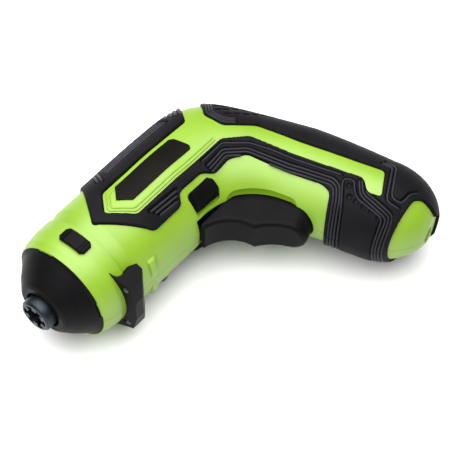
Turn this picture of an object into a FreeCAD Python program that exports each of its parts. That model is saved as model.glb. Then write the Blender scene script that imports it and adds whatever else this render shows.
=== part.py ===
import FreeCAD, Part
import math
import os
import Sketcher

V = FreeCAD.Vector
doc = FreeCAD.newDocument("electric_screwdriver")
sheet = doc.addObject("Spreadsheet::Sheet", "dims")

# Driving dimensions, millimetres and degrees.
# X runs back along the spindle from the mouth of the bit holder, Y is the tool's top, Z its left side.
SIZES = [
    # moulded body
    ("barrel_radius", 22.0), ("body_start", 28.5), ("bend_start", 68.0), ("bend_radius", 22.5),
    ("handle_tilt", 16.0), ("handle_depth", 39.4), ("handle_half_width", 17.2), ("back_lean", 6.0),
    ("elbow_sharpness", 10.0), ("handle_straight", 33.0), ("butt_dome", 22.0), ("butt_taper", 3.0),
    ("shell_wall", 2.4), ("grip_thickness", 1.2), ("rib_thickness", 1.6),
    # front ring of the body
    ("ring_front", 14.4), ("ring_front_drop", 1.8), ("ring_step", 17.0), ("ring_step_drop", 0.8),
    ("ring_middle", 22.0), ("ring_middle_drop", 0.1), ("ring_rear", 28.0),
    ("ring_groove_depth", 0.9), ("ring_wall", 2.8), ("ring_overlap", 1.2),
    ("valley_depth", 1.2), ("valley_run", 6.5), ("valley_over", 0.4),
    # rubber outline on the barrel
    ("frame_nose", 31.9), ("frame_nose_height", -0.3), ("frame_front_run", 11.6),
    ("frame_front_rise", 16.1), ("frame_corner", 47.4), ("frame_lower", -16.3), ("notch_front", 62.1),
    ("notch_slope", 2.6), ("notch_height", -13.0), ("notch_rear", 76.6), ("notch_end", 80.8),
    ("frame_rear", 88.2),
    # side panel that the rubber frames
    ("window_top", 7.0), ("window_bottom", -8.65), ("window_point", 38.5),
    ("window_point_height", -0.4), ("window_front", 45.1), ("window_front_low", 46.7),
    ("window_rear", 90.1), ("window_rear_low", 92.5), ("gap_slope_run", 6.3), ("gap_slope_rise", 9.0),
    ("strap_front", 98.0), ("strap_front_low", -4.9), ("strap_front_high", 4.7),
    ("strap_slope_run", 6.0), ("strap_slope_rise", 15.0),
    # rubber outline on the handle, across (depth) and along the handle
    ("band_front", 9.3), ("band_top", -16.2), ("band_end", 13.3), ("pad_corner", 7.7),
    ("pad_top", 17.0), ("pad_fall", 2.2), ("stripe_front", 16.9), ("stripe_back", 23.5),
    ("stripe_top", -18.6), ("stripe_end", 26.7), ("stripe_hook", 12.1), ("hook_drop", 3.2),
    ("hook_length", 5.4), ("stripe_close", 32.4), ("butt_line_front", 42.0), ("butt_line_middle", 17.0),
    ("butt_line_fall", 4.7), ("butt_line_back", 19.5), ("butt_line_drop", 2.6),
    # label plate
    ("label_front", 45.5), ("label_rear", 82.3), ("label_top", 5.0), ("label_bottom", -3.8),
    ("label_point", 0.5), ("label_slope", 4.2), ("label_thickness", 0.5), ("label_corner", 1.2),
    # bit holder and its bearing
    ("holder_radius", 6.65), ("holder_front", 6.0), ("holder_neck_radius", 6.4), ("holder_head", 8.4),
    ("holder_chamfer", 0.8), ("spindle_radius", 5.0), ("socket_radius", 5.2), ("hex_half_flats", 3.2),
    ("socket_depth", 5.5), ("hex_depth", 11.5), ("tooth_half_width", 0.95), ("magnet_radius", 2.75),
    ("magnet_length", 3.0), ("seat_clearance", 0.05), ("bush_radius", 6.4), ("bush_front", 9.0),
    ("run_clearance", 0.05), ("drive_half_flats", 3.8), ("journal_radius", 3.2), ("clip_radius", 5.0),
    ("clip_thickness", 0.6), ("washer_radius", 8.0), ("washer_thickness", 0.5), ("axial_gap", 0.1),
    # nose collar
    ("collar_front", 4.2), ("collar_front_radius", 9.8), ("collar_hole", 7.7), ("collar_lip", 0.6),
    ("collar_belly", 8.0), ("collar_belly_drop", 7.7), ("collar_breast", 11.0), ("collar_breast_drop", 5.2),
    ("collar_rim_drop", 2.0), ("collar_rim", 1.0), ("collar_shoulder_drop", 3.4),
    ("collar_wall", 2.0), ("collar_spigot", 3.0), ("collar_spigot_clearance", 0.1),
    ("notch_width", 7.0), ("notch_depth", 1.3), ("notch_angle", 72.0), ("notch_count", 4.0),
    # gear case and planetary gears
    ("case_radius", 17.5), ("case_wall_front", 15.2), ("case_wall", 2.4), ("case_boss_radius", 8.2),
    ("gear_module", 0.55), ("sun_teeth", 12.0), ("planet_teeth", 21.0), ("ring_teeth", 54.0),
    ("addendum", 0.8), ("dedendum", 1.1), ("pressure_angle", 20.0), ("backlash", 0.06),
    ("planet_count", 3.0), ("carrier_thickness", 3.0), ("carrier_radius", 13.8), ("planet_width", 4.8),
    ("planet_pin_radius", 1.5), ("gear_gap", 0.4), ("middle_carrier_thickness", 2.2),
    ("cover_thickness", 2.0), ("cover_radius", 15.8), ("cover_hole", 4.6), ("case_clearance", 0.1),
    # motor
    ("motor_radius", 13.8), ("motor_length", 31.0), ("motor_boss_radius", 4.5), ("motor_boss", 1.4),
    ("shaft_radius", 1.15), ("shaft_tail", 1.2), ("end_cap_radius", 13.0), ("end_cap_length", 5.5),
    ("terminal_width", 4.8), ("terminal_thickness", 0.8), ("terminal_length", 2.3),
    ("terminal_offset", 8.0), ("motor_screw_radius", 1.2), ("motor_screw_head", 2.2),
    ("motor_screw_length", 5.2), ("motor_screw_offset", 8.0), ("motor_screw_head_height", 1.2),
    ("can_wall", 1.2), ("can_front", 2.0), ("magnet_inner", 9.2), ("magnet_half_angle", 62.0),
    ("magnet_start", 5.5), ("magnet_span", 21.0), ("armature_radius", 8.6), ("armature_start", 6.5),
    ("armature_length", 19.0), ("commutator_radius", 3.5), ("commutator_length", 4.0),
    # cell, board and charging socket in the handle
    ("cell_radius", 9.15), ("cell_length", 65.0), ("cell_depth_place", 19.0), ("cell_end", 47.0),
    ("tab_thickness", 0.3), ("tab_radius", 4.5), ("board_gap", 1.8), ("board_thickness", 1.6),
    ("board_length", 30.0), ("board_width", 15.0), ("board_top", -12.0), ("chip_height", 1.4),
    ("chip_place", 4.5), ("chip_step", 8.4), ("chip_count", 3.0), ("socket_place", 14.8),
    ("charge_radius", 3.4), ("charge_recess_radius", 3.0), ("charge_recess", 1.2), ("charge_bore", 2.6),
    ("charge_pin", 0.8),
    # trigger and its switch
    ("trigger_half_width", 7.0), ("trigger_clearance", 0.5), ("trigger_edge", 1.8),
    ("tip_ahead", 2.9), ("tip_drop", 2.2), ("top_drop", 0.4), ("scallop_angle", 72.3),
    ("scallop_depth", -6.02), ("cusp_angle", 36.6), ("cusp_depth", -11.42), ("lower_angle", -1.1),
    ("lower_depth", -6.9), ("lower_end_angle", -20.2), ("lower_end_depth", -3.11), ("tail_depth", -5.29),
    ("tail_place", 14.7), ("tail_end_depth", -2.42), ("tail_end_place", 15.2), ("tuck_depth", -0.07),
    ("tuck_place", 14.2), ("tongue_end", 14.0), ("trigger_back_depth", 4.0), ("trigger_back_behind", 10.6),
    ("trigger_back_angle", 50.0), ("pivot_depth", 5.1), ("pivot_place", 8.6), ("pivot_boss", 3.4),
    ("pin_radius", 1.5), ("pin_half_length", 9.2), ("pin_boss", 3.4), ("pin_boss_gap", 0.4),
    ("stop_ahead", 6.2), ("stop_behind", 1.4), ("stop_gap", 0.7), ("stop_height", 1.2),
    ("stop_half_width", 3.0), ("switch_angle", 58.0), ("switch_near", 7.8), ("switch_depth", 6.4),
    ("switch_half_length", 7.0), ("switch_half_width", 6.0), ("plunger_radius", 1.5),
    ("plunger_length", 6.6), ("plunger_near", 3.4), ("plunger_bore", 5.4),
    # hollow beside the trigger
    ("hollow_radius", 8.0), ("hollow_depth", -4.5), ("hollow_place", 10.1), ("hollow_angle", 52.0),
    ("hollow_length", 3.0),
    # direction button
    ("button_ahead", 1.7), ("button_behind", 10.6), ("button_low_depth", 1.4), ("button_high_depth", 7.0),
    ("button_proud", 1.5), ("button_clearance", 0.35), ("button_edge", 0.9), ("button_inner", 11.0),
    ("button_corner", 1.6), ("button_bevel", 0.6),
    ("rod_start", 2.4), ("rod_end", 9.0), ("rod_low_depth", 3.5), ("rod_high_depth", 6.7),
    ("button_travel", 2.5), ("arm_end", 12.4), ("arm_low_depth", 4.3), ("arm_high_depth", 5.6),
    ("arm_half_width", 1.2),
    # lock slide
    ("slide_front", 20.0), ("slide_rear", 26.0), ("slide_angle", 91.0), ("slide_half_angle", 15.5),
    ("slide_height", 1.0), ("slide_gap", 0.3), ("slide_corner", 1.2), ("slide_bevel", 0.4),
    ("slide_spare", 4.0), ("slide_travel", 10.0), ("stem_half_angle", 4.0),
    ("stem_front", 21.6), ("stem_rear", 24.4), ("stem_gap", 0.35), ("lock_front", 20.6),
    ("lock_rear", 25.4), ("lock_outer", 18.8), ("lock_gap", 0.2), ("groove_count", 3.0),
    ("groove_edge", 1.8), ("groove_step", 2.6), ("groove_half_angle", 0.55), ("groove_depth", 0.5),
    # work lamp under the barrel
    ("lamp_front", 23.4), ("lamp_rear", 33.6), ("lamp_height", 4.2), ("lamp_half_angle", 45.4),
    ("lamp_lean", 1.4), ("lamp_slope", 5.0), ("lamp_shoulder", 12.4), ("lamp_shoulder_drop", 1.8),
    ("lamp_flat", 5.0), ("lamp_fall", 3.9), ("lamp_seat", 0.1), ("lamp_saddle", 27.4), ("scoop_radius", 3.6),
    ("led_radius", 1.5), ("led_length", 5.0), ("led_sink", 1.9), ("led_standoff", 2.2), ("led_angle", 25.0),
    # screws that close the body
    ("screw_radius", 1.3), ("screw_head_radius", 2.5), ("screw_head_height", 2.0), ("screw_seat", 8.0),
    ("screw_reach", 8.0), ("screw_clearance", 0.2), ("screw_boss", 4.2), ("screw_recess", 2.9),
    ("screw_front", 47.0), ("screw_rear", 84.0), ("screw_top_inset", 4.6),
    ("screw_low_inset", 4.0), ("screw_elbow_angle", 51.4), ("screw_elbow_inset", 9.0),
    ("screw_back_inset", 6.3), ("screw_back_place", 24.5), ("screw_grip_depth", 5.3),
    ("screw_grip_place", 30.0),
    # ribs inside the shells
    ("rib_gap", 1.0), ("rib_inset", 6.0), ("cell_rib_top", -6.0), ("cell_rib_middle", 12.0),
    ("cell_rib_low", 36.0), ("switch_shelf_inset", 3.0),
]

for row, (alias, number_text) in enumerate(SIZES, start=1):
    sheet.set("A%d" % row, alias)
    sheet.set("B%d" % row, str(number_text))
    sheet.setAlias("B%d" % row, alias)
doc.recompute()


def size(alias):
    return float(sheet.get(alias))


def number(words):
    # adds up a sum such as "ring_front + ring_step"
    total, sign = 0.0, 1.0
    for word in words.split():
        if word in "+-":
            sign = 1.0 if word == "+" else -1.0
        else:
            total += sign * size(word)
    return total


def bound(words):
    return " ".join(word if word in "+-" else "dims." + word for word in words.split())


def bind(obj, **sums):
    for prop, words in sums.items():
        obj.setExpression(prop, bound(words))
    return obj


def place(obj, base, rotation=None):
    obj.Placement = FreeCAD.Placement(base, rotation or FreeCAD.Rotation())
    return obj


ABOUT_Y = FreeCAD.Rotation(V(0, 1, 0), 90)
FAR = 60.0
OVAL_STEPS = 20
BARREL_STEPS = 5
BEND_STEPS = 8
HANDLE_STEPS = 4
DOME_TURNS = (22, 42, 58, 72)
ON_AXIS = ""
TOUCH = 0.01


# Places along the spindle axis, front to back, as sums of named sizes
CASE_FLOOR = "case_wall_front + case_wall"
WASHER = CASE_FLOOR + " + axial_gap"
CARRIER = WASHER + " + washer_thickness + axial_gap"
CLIP = CARRIER + " + carrier_thickness + axial_gap"
SECOND_STAGE = CLIP + " + clip_thickness + gear_gap"
MIDDLE = SECOND_STAGE + " + planet_width + gear_gap"
FIRST_STAGE = MIDDLE + " + middle_carrier_thickness + gear_gap"
COVER = FIRST_STAGE + " + planet_width + gear_gap"
MOTOR = COVER + " + cover_thickness"
MOTOR_CAP = MOTOR + " + motor_length"
MOTOR_TAIL = MOTOR_CAP + " + end_cap_length"


# General shapes

def origin_plane(body, role):
    return [plane for plane in body.Origin.OriginFeatures if plane.Role == role][0]


def closed_sketch(body, name, role, corners):
    # straight-sided outline, each corner held by two bound distances from the origin
    sketch = body.newObject("Sketcher::SketchObject", name)
    sketch.AttachmentSupport = [(origin_plane(body, role), "")]
    sketch.MapMode = "FlatFace"
    points = [V(number(across), number(up), 0) for across, up in corners]
    count = len(points)
    for index in range(count):
        sketch.addGeometry(Part.LineSegment(points[index], points[(index + 1) % count]), False)
    for index in range(count):
        sketch.addConstraint(Sketcher.Constraint("Coincident", index, 2, (index + 1) % count, 1))
    for index, (across, up) in enumerate(corners):
        for kind, words, axis in (("DistanceX", across, -2), ("DistanceY", up, -1)):
            if words == ON_AXIS:
                sketch.addConstraint(Sketcher.Constraint("PointOnObject", index, 1, axis))
            else:
                held = sketch.addConstraint(Sketcher.Constraint(kind, -1, 1, index, 1, number(words)))
                sketch.setExpression("Constraints[%d]" % held, bound(words))
    return sketch


def turned(label, corners):
    # piece turned about the spindle axis: corners are (place along X, radius)
    body = doc.addObject("PartDesign::Body", label)
    sketch = closed_sketch(body, label + "_profile", "XY_Plane", corners)
    turn = body.newObject("PartDesign::Revolution", label + "_turn")
    turn.Profile = sketch
    turn.ReferenceAxis = (sketch, ["H_Axis"])
    turn.Angle = 360
    sketch.Visibility = False
    return body


def ring_sector(name, corners, middle, half):
    # turned piece that goes only part of the way round
    body = turned(name, corners)
    body.Tip.Angle = 2 * half
    return place(body, V(0, 0, 0), FreeCAD.Rotation(V(1, 0, 0), middle - half))


def rod(name, radius, start, length, offset=V(0, 0, 0)):
    # round bar along X, from a bound place
    bar = bind(doc.addObject("Part::Cylinder", name), Radius=radius, Height=length)
    return place(bar, V(number(start), offset.y, offset.z), ABOUT_Y)


def block(name, low, high, base=V(0, 0, 0), rotation=None):
    # box between two corners given in a local frame
    box = doc.addObject("Part::Box", name)
    box.Length, box.Width, box.Height = [max(h - l, 0.001) for l, h in zip(low, high)]
    rotation = rotation or FreeCAD.Rotation()
    return place(box, base + rotation.multVec(V(*low)), rotation)


def post(name, radius, centre, low, high):
    # round post or hole along Z
    bar = doc.addObject("Part::Cylinder", name)
    bar.Radius, bar.Height = radius, high - low
    return place(bar, centre + V(0, 0, low))


def slab(name, points, low, high):
    # flat outline in the XY plane, drawn out along Z
    outline = doc.addObject("Part::Feature", name + "_outline")
    outline.Shape = Part.Face(Part.makePolygon(points + points[:1]))
    return drawn(name, outline, low, high)


def drawn(name, outline, low, high):
    solid = doc.addObject("Part::Extrusion", name)
    solid.Base = outline
    solid.DirMode = "Custom"
    solid.Dir = V(0, 0, 1)
    solid.LengthFwd = high
    solid.LengthRev = -low
    solid.Solid = True
    return solid


def along_x(name, outline, length):
    solid = doc.addObject("Part::Extrusion", name)
    solid.Base = outline
    solid.DirMode = "Custom"
    solid.Dir = V(1, 0, 0)
    solid.LengthFwd = length
    solid.Solid = True
    return solid


def clipped(fore, aft, low, high, fore_corner, aft_corner):
    # rectangle in the XY plane with its corners cut off
    return [V(fore + fore_corner, low, 0), V(aft - aft_corner, low, 0), V(aft, low + aft_corner, 0),
            V(aft, high - aft_corner, 0), V(aft - aft_corner, high, 0), V(fore + fore_corner, high, 0),
            V(fore, high - fore_corner, 0), V(fore, low + fore_corner, 0)]


def bevelled(name, base, width, chosen):
    # chamfers the edges whose points are all chosen
    doc.recompute()
    result = doc.addObject("Part::Chamfer", name)
    result.Base = base
    result.Edges = [(index, width, width) for index, edge in enumerate(base.Shape.Edges, start=1)
                    if all(chosen(vertex.Point) for vertex in edge.Vertexes)]
    return result


def cut(label, base, tool):
    result = doc.addObject("Part::Cut", label)
    result.Base, result.Tool = base, tool
    return result


def fuse(label, *shapes):
    result = doc.addObject("Part::MultiFuse", label)
    result.Shapes = list(shapes)
    return result


def common(label, *shapes):
    result = doc.addObject("Part::MultiCommon", label)
    result.Shapes = list(shapes)
    return result


def mirrored(label, source):
    result = doc.addObject("Part::Mirroring", label)
    result.Source = source
    result.Base, result.Normal = V(0, 0, 0), V(0, 0, 1)
    return result


def group(label, solids):
    result = doc.addObject("Part::Compound", label)
    result.Links = solids
    return result


# Frame of the handle: depth runs from the finger side to the back, along runs to the butt

TILT = math.radians(size("handle_tilt"))
BEND = V(size("bend_start"), -number("barrel_radius + bend_radius"), 0)
ACROSS = V(math.cos(TILT), math.sin(TILT), 0)
ALONG = V(math.sin(TILT), -math.cos(TILT), 0)
HANDLE = FreeCAD.Rotation(V(0, 0, 1), size("handle_tilt"))


def on_handle(depth, along):
    return BEND + ACROSS * (size("bend_radius") + depth) + ALONG * along


def round_bend(depth, angle):
    # point at an angle about the bend's centre, at a depth behind the finger side
    turn = math.radians(angle)
    return BEND + V(math.cos(turn), math.sin(turn), 0) * (size("bend_radius") + depth)


def handle_block(name, depths, alongs, lefts):
    return block(name, (depths[0], -alongs[1], lefts[0]), (depths[1], -alongs[0], lefts[1]),
                 on_handle(0.0, 0.0), HANDLE)


def handle_rod(name, radius, depth, start, end):
    bar = doc.addObject("Part::Cylinder", name)
    bar.Radius, bar.Height = radius, end - start
    return place(bar, on_handle(depth, start), FreeCAD.Rotation(V(0, 0, 1), ALONG))


# Moulded body: one loft of ovals that stand on lines from the finger side to the back

def back_distance(angle):
    # the top line and the leaning back line meet in a rounded elbow
    lean = math.radians(size("back_lean"))
    reach = number("bend_radius + handle_depth") * math.cos(lean)
    top = number("barrel_radius + barrel_radius + bend_radius") / math.sin(angle)
    back = reach / math.cos(angle - TILT - lean)
    power = size("elbow_sharpness")
    return (top ** -power + back ** -power) ** (-1.0 / power)


def ovals(offset):
    # yields finger-side point, back point and half width of each section, moved out by the offset
    radius = size("barrel_radius")
    inner = size("bend_radius")
    start, bend = size("body_start"), size("bend_start")
    for step in range(BARREL_STEPS):
        along = start + (bend - start) * step / BARREL_STEPS
        yield V(along, -radius - offset, 0), V(along, radius + offset, 0), radius + offset
    quarter = math.pi / 2
    for step in range(BEND_STEPS):
        angle = quarter + (TILT - quarter) * step / BEND_STEPS
        ray = V(math.cos(angle), math.sin(angle), 0)
        half = size("handle_half_width")
        half += (radius - half) * (angle - TILT) / (quarter - TILT)
        yield BEND + ray * (inner - offset), BEND + ray * (back_distance(angle) + offset), half + offset
    straight = size("handle_straight")
    deep = back_distance(TILT) - inner
    for step in range(HANDLE_STEPS + 1):
        part = step / HANDLE_STEPS
        back = deep - size("butt_taper") * part ** 1.6
        yield (on_handle(-offset, straight * part), on_handle(back + offset, straight * part),
               size("handle_half_width") + offset)
    half = (deep - size("butt_taper")) / 2
    for degrees in DOME_TURNS:
        turn = math.radians(degrees)
        along = straight + (size("butt_dome") + offset) * math.sin(turn)
        reach = (half + offset) * math.cos(turn)
        yield (on_handle(half - reach, along), on_handle(half + reach, along),
               (size("handle_half_width") + offset) * math.cos(turn))


def oval_wire(name, front, back, half_width):
    # closed oval on the line from front to back, standing square to the middle plane
    middle = (front + back) * 0.5
    depth = (back - front) * 0.5
    left = V(0, 0, half_width)
    turns = [2 * math.pi * step / OVAL_STEPS for step in range(OVAL_STEPS)]
    rim = Part.BSplineCurve()
    rim.interpolate(Points=[middle + depth * math.cos(turn) + left * math.sin(turn) for turn in turns],
                    Parameters=turns + [2 * math.pi], PeriodicFlag=True)
    section = doc.addObject("Part::Feature", name)
    section.Shape = Part.Wire([rim.toShape()])
    return section


def body_loft(name, offset):
    loft = doc.addObject("Part::Loft", name)
    loft.Sections = [oval_wire(name + "_oval", *oval) for oval in ovals(offset)]
    loft.Solid = True
    loft.Ruled = False
    return loft


def left_half(name, shape):
    return common(name, shape, block(name + "_side", (-FAR, -2 * FAR, 0), (3 * FAR, FAR, FAR)))


def body_forms():
    # left halves of the outer form and of the hollow inside it
    ring = turned("ring_form", [
        ("ring_front", ON_AXIS), ("ring_front", "barrel_radius - ring_front_drop"),
        ("ring_step", "barrel_radius - ring_step_drop"),
        ("ring_middle", "barrel_radius - ring_middle_drop"), ("ring_rear", "barrel_radius"),
        ("ring_rear", "barrel_radius - ring_groove_depth"),
        ("body_start + ring_overlap", "barrel_radius - ring_groove_depth"),
        ("body_start + ring_overlap", ON_AXIS)])
    valley = turned("ring_valley", [
        ("body_start", "barrel_radius - valley_depth"), ("body_start", "barrel_radius + shell_wall"),
        ("body_start + valley_run", "barrel_radius + shell_wall"),
        ("body_start + valley_run", "barrel_radius + valley_over")])
    form = cut("body_form", fuse("body_solid", body_loft("body_outside", 0.0), ring), valley)
    bore = turned("ring_hollow", [
        ("collar_front", ON_AXIS), ("collar_front", "barrel_radius - ring_wall"),
        ("body_start + ring_overlap", "barrel_radius - ring_wall"), ("body_start + ring_overlap", ON_AXIS)])
    hollow = fuse("body_hollow", body_loft("body_inside", -size("shell_wall")), bore)
    return left_half("form_half", form), left_half("hollow_half", hollow)


def screw_places():
    top, low = number("barrel_radius - screw_top_inset"), number("screw_low_inset - barrel_radius")
    elbow = size("screw_elbow_angle")
    reach = back_distance(math.radians(elbow)) - number("bend_radius + screw_elbow_inset")
    return [V(size("screw_front"), top, 0), V(size("screw_rear"), top, 0), V(size("screw_front"), low, 0),
            round_bend(reach, elbow),
            on_handle(number("handle_depth - screw_back_inset"), size("screw_back_place")),
            on_handle(size("screw_grip_depth"), size("screw_grip_place"))]


# Places that more than one piece shares

PIVOT = on_handle(size("pivot_depth"), size("pivot_place"))
TRIGGER_TIP = V(number("bend_start - tip_ahead"), -number("barrel_radius + tip_drop"), 0)
TRIGGER_TOP = -number("barrel_radius + top_drop")
STOP_FRONT = number("bend_start - stop_ahead")
STOP_REAR = number("bend_start - stop_behind")
STOP_LOW = number("shell_wall + stop_gap - barrel_radius")
ROD_FRONT = number("bend_start + rod_start")
ROD_REAR = number("bend_start + rod_end")
ROD_LOW = number("rod_low_depth - barrel_radius")
ROD_HIGH = number("rod_high_depth - barrel_radius")
ARM_REAR = number("bend_start + arm_end")
ARM_LOW = number("arm_low_depth - barrel_radius")
ARM_HIGH = number("arm_high_depth - barrel_radius")
BUTTON_FRONT = number("bend_start - button_ahead")
BUTTON_REAR = number("bend_start + button_behind")
BUTTON_LOW = number("button_low_depth - barrel_radius")
BUTTON_HIGH = number("button_high_depth - barrel_radius")
SWITCH_NEAR = number("bend_radius + switch_near")
SWITCH = FreeCAD.Rotation(V(0, 0, 1), size("switch_angle"))
CELL_TOP = size("cell_end") - size("cell_length")
CHARGE_FACE = size("handle_straight") + size("butt_dome") * math.sin(math.radians(DOME_TURNS[-1]))
CHARGE_FACE -= size("charge_recess")


def stiffeners():
    # ribs and posts on the inside of a half shell, cut to seat what they hold
    thick = size("rib_thickness")
    solids = []
    fronts = (number("lock_rear + rib_gap"), number(COVER + " - rib_gap") - thick,
              number(MOTOR + " + rib_inset"), number(MOTOR_CAP + " - rib_inset"))
    for number_of, front in enumerate(fronts):
        solids.append(block("barrel_rib_%d" % number_of, (front, -FAR, 0), (front + thick, FAR, FAR)))
    behind = size("cell_depth_place") - size("cell_radius") + size("rib_gap")
    tab = size("tab_thickness")
    tops = ((CELL_TOP - tab - thick, behind), (size("cell_rib_top"), behind),
            (size("cell_rib_middle"), behind), (size("cell_rib_low"), -FAR), (size("cell_end") + tab, -FAR))
    for number_of, (along, depth) in enumerate(tops):
        solids.append(handle_block("cell_rib_%d" % number_of, (depth, 2 * FAR), (along, along + thick),
                                   (0, FAR)))
    back = SWITCH_NEAR + size("switch_depth")
    half = number("switch_half_length - rib_gap")
    solids.append(block("switch_shelf", (back, -half, size("switch_shelf_inset")),
                        (back + thick, half, FAR), BEND, SWITCH))
    for number_of, centre in enumerate(screw_places()):
        solids.append(post("screw_post_%d" % number_of, size("screw_boss"), centre, 0.0, FAR))
    start = number("trigger_half_width + trigger_clearance + pin_boss_gap")
    solids.append(post("pin_post", size("pin_boss"), PIVOT, start, FAR))
    seats = [rod("case_seat", "case_radius + seat_clearance", "case_wall_front",
                 MOTOR + " - case_wall_front"),
             rod("motor_seat", "motor_radius + seat_clearance", MOTOR, MOTOR_TAIL + " - case_wall_front"),
             handle_rod("cell_seat", number("cell_radius + seat_clearance"), size("cell_depth_place"),
                        CELL_TOP - tab, size("cell_end") + tab),
             handle_rod("charge_seat", number("charge_radius + seat_clearance"), size("socket_place"),
                        size("cell_end"), CHARGE_FACE),
             board_block("board_seat", size("seat_clearance"), number("board_thickness + chip_height")),
             block("stop_way", (STOP_FRONT - size("trigger_clearance"), STOP_LOW - size("pin_boss_gap"), 0.0),
                   (STOP_REAR + size("stop_ahead"), 0.0, number("stop_half_width + trigger_clearance")))]
    return cut("stiffening", fuse("stiffening_solids", *solids), fuse("stiffening_seats", *seats))


def board_block(name, clearance, thickness):
    near = number("cell_depth_place + cell_radius + board_gap") - clearance
    half = size("board_width") / 2 + clearance
    top = size("board_top")
    return handle_block(name, (near, near + thickness + 2 * clearance),
                        (top - clearance, top + size("board_length") + clearance), (-half, half))


def tongue(name, gap):
    # upright form with a round lower end, as wide as the trigger and a gap round it
    half = size("trigger_half_width") + gap
    turn = number("tongue_end - trigger_half_width")
    left, right = V(0, 0, half), V(0, 0, -half)
    high, low = on_handle(-FAR, -FAR), on_handle(-FAR, turn)
    edges = [Part.LineSegment(high + right, high + left), Part.LineSegment(high + left, low + left),
             Part.Arc(low + left, low + ALONG * half, low + right),
             Part.LineSegment(low + right, high + right)]
    outline = doc.addObject("Part::Feature", name + "_outline")
    outline.Shape = Part.Face(Part.Wire([edge.toShape() for edge in edges]))
    form = doc.addObject("Part::Extrusion", name)
    form.Base = outline
    form.DirMode = "Custom"
    form.Dir = ACROSS
    form.LengthFwd = FAR + FAR
    form.Solid = True
    return form


def trigger_slot():
    # opening for the trigger, with room for its swing; the tongue sets its width and its round end
    half = number("trigger_half_width + trigger_clearance + trigger_clearance")
    left = TRIGGER_TIP.x - size("trigger_clearance")
    inside = number("cell_depth_place - cell_radius") - size("trigger_clearance")
    end = number("tuck_place + trigger_clearance")
    outside = -size("bend_radius")
    points = [V(left, -FAR, 0), V(left, ROD_HIGH, 0), V(ARM_REAR, ROD_HIGH, 0),
              on_handle(inside, size("band_top")), on_handle(inside, end), on_handle(outside, end),
              on_handle(outside, FAR)]
    return common("trigger_slot", slab("trigger_way", points, -half, half),
                  tongue("trigger_way_end", size("trigger_clearance")))


def finger_hollow():
    # gutter on the side of the shell that follows the trigger round the bend and down the handle
    depth, radius, side = size("hollow_depth"), size("hollow_radius"), V(0, 0, size("hollow_place"))
    first, last, run = size("handle_tilt"), size("hollow_angle"), size("hollow_length")
    bend = doc.addObject("Part::Torus", "hollow_bend")
    bend.Radius1, bend.Radius2, bend.Angle3 = size("bend_radius") + depth, radius, last - first
    place(bend, BEND + side, HANDLE)
    straight = doc.addObject("Part::Cylinder", "hollow_straight")
    straight.Radius, straight.Height = radius, run
    place(straight, on_handle(depth, 0.0) + side, FreeCAD.Rotation(V(0, 0, 1), ALONG))
    ends = []
    for number_of, centre in enumerate((round_bend(depth, last), on_handle(depth, run))):
        ball = doc.addObject("Part::Sphere", "hollow_end_%d" % number_of)
        ball.Radius = radius
        ends.append(place(ball, centre + side))
    return fuse("finger_hollow", bend, straight, *ends)


def button_outline(gap):
    return clipped(BUTTON_FRONT - gap, BUTTON_REAR + gap, BUTTON_LOW - gap, BUTTON_HIGH + gap,
                   size("button_edge"), size("button_corner"))


def button_holes():
    # opening for the button's end, and a way through the wall for the bar that links both ends
    gap = size("button_clearance")
    start = number("button_inner - button_travel") - gap
    opening = slab("button_hole", button_outline(gap), start, FAR)
    way = block("link_way", (ROD_FRONT - gap, ROD_LOW - gap, 0.0), (ROD_REAR + gap, ROD_HIGH + gap, start))
    return fuse("button_holes", opening, way)


def half_shell(form, hollow):
    shell = cut("half_shell", form, cut("open_hollow", hollow, stiffeners()))
    openings = [trigger_slot(), finger_hollow(), button_holes(),
                post("pin_hole", number("pin_radius + seat_clearance"), PIVOT, 0.0,
                     number("pin_half_length + axial_gap")),
                handle_rod("charge_hole", number("charge_radius + seat_clearance"), size("socket_place"),
                           size("cell_end"), CHARGE_FACE),
                handle_rod("charge_recess", size("charge_recess_radius"), size("socket_place"),
                           CHARGE_FACE, FAR)]
    return cut("plain_shell", shell, fuse("shell_openings", *openings))


def slide_block(name, fore, aft, turn, half_angle, low, high):
    # block round the front ring: half its width comes from an angle at the barrel's surface
    half = size("barrel_radius") * math.sin(math.radians(half_angle))
    spin = FreeCAD.Rotation(V(1, 0, 0), turn)
    return block(name, (fore, low, -half), (aft, high, half), V(0, 0, 0), spin)


def slide_slot():
    gap = size("stem_gap")
    spare = math.degrees(gap / size("barrel_radius"))
    half_way = size("slide_travel") / 2
    return slide_block("slide_slot", size("stem_front") - gap, size("stem_rear") + gap,
                       size("slide_angle") + half_way, size("stem_half_angle") + half_way + spare,
                       size("case_radius"), FAR)


def screw_holes(side):
    # thread holes in the left shell; clearance holes and head recesses from the right
    solids = []
    for number_of, centre in enumerate(screw_places()):
        tag = "%s_%d" % (side, number_of)
        if side == "left":
            solids.append(post("thread_" + tag, size("screw_radius"), centre, 0.0, size("screw_reach")))
        else:
            solids.append(post("way_" + tag, number("screw_radius + screw_clearance"), centre,
                               -size("screw_seat"), 0.0))
            solids.append(post("recess_" + tag, size("screw_recess"), centre, -FAR, -size("screw_seat")))
    return fuse("screw_holes_" + side, *solids)


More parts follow.
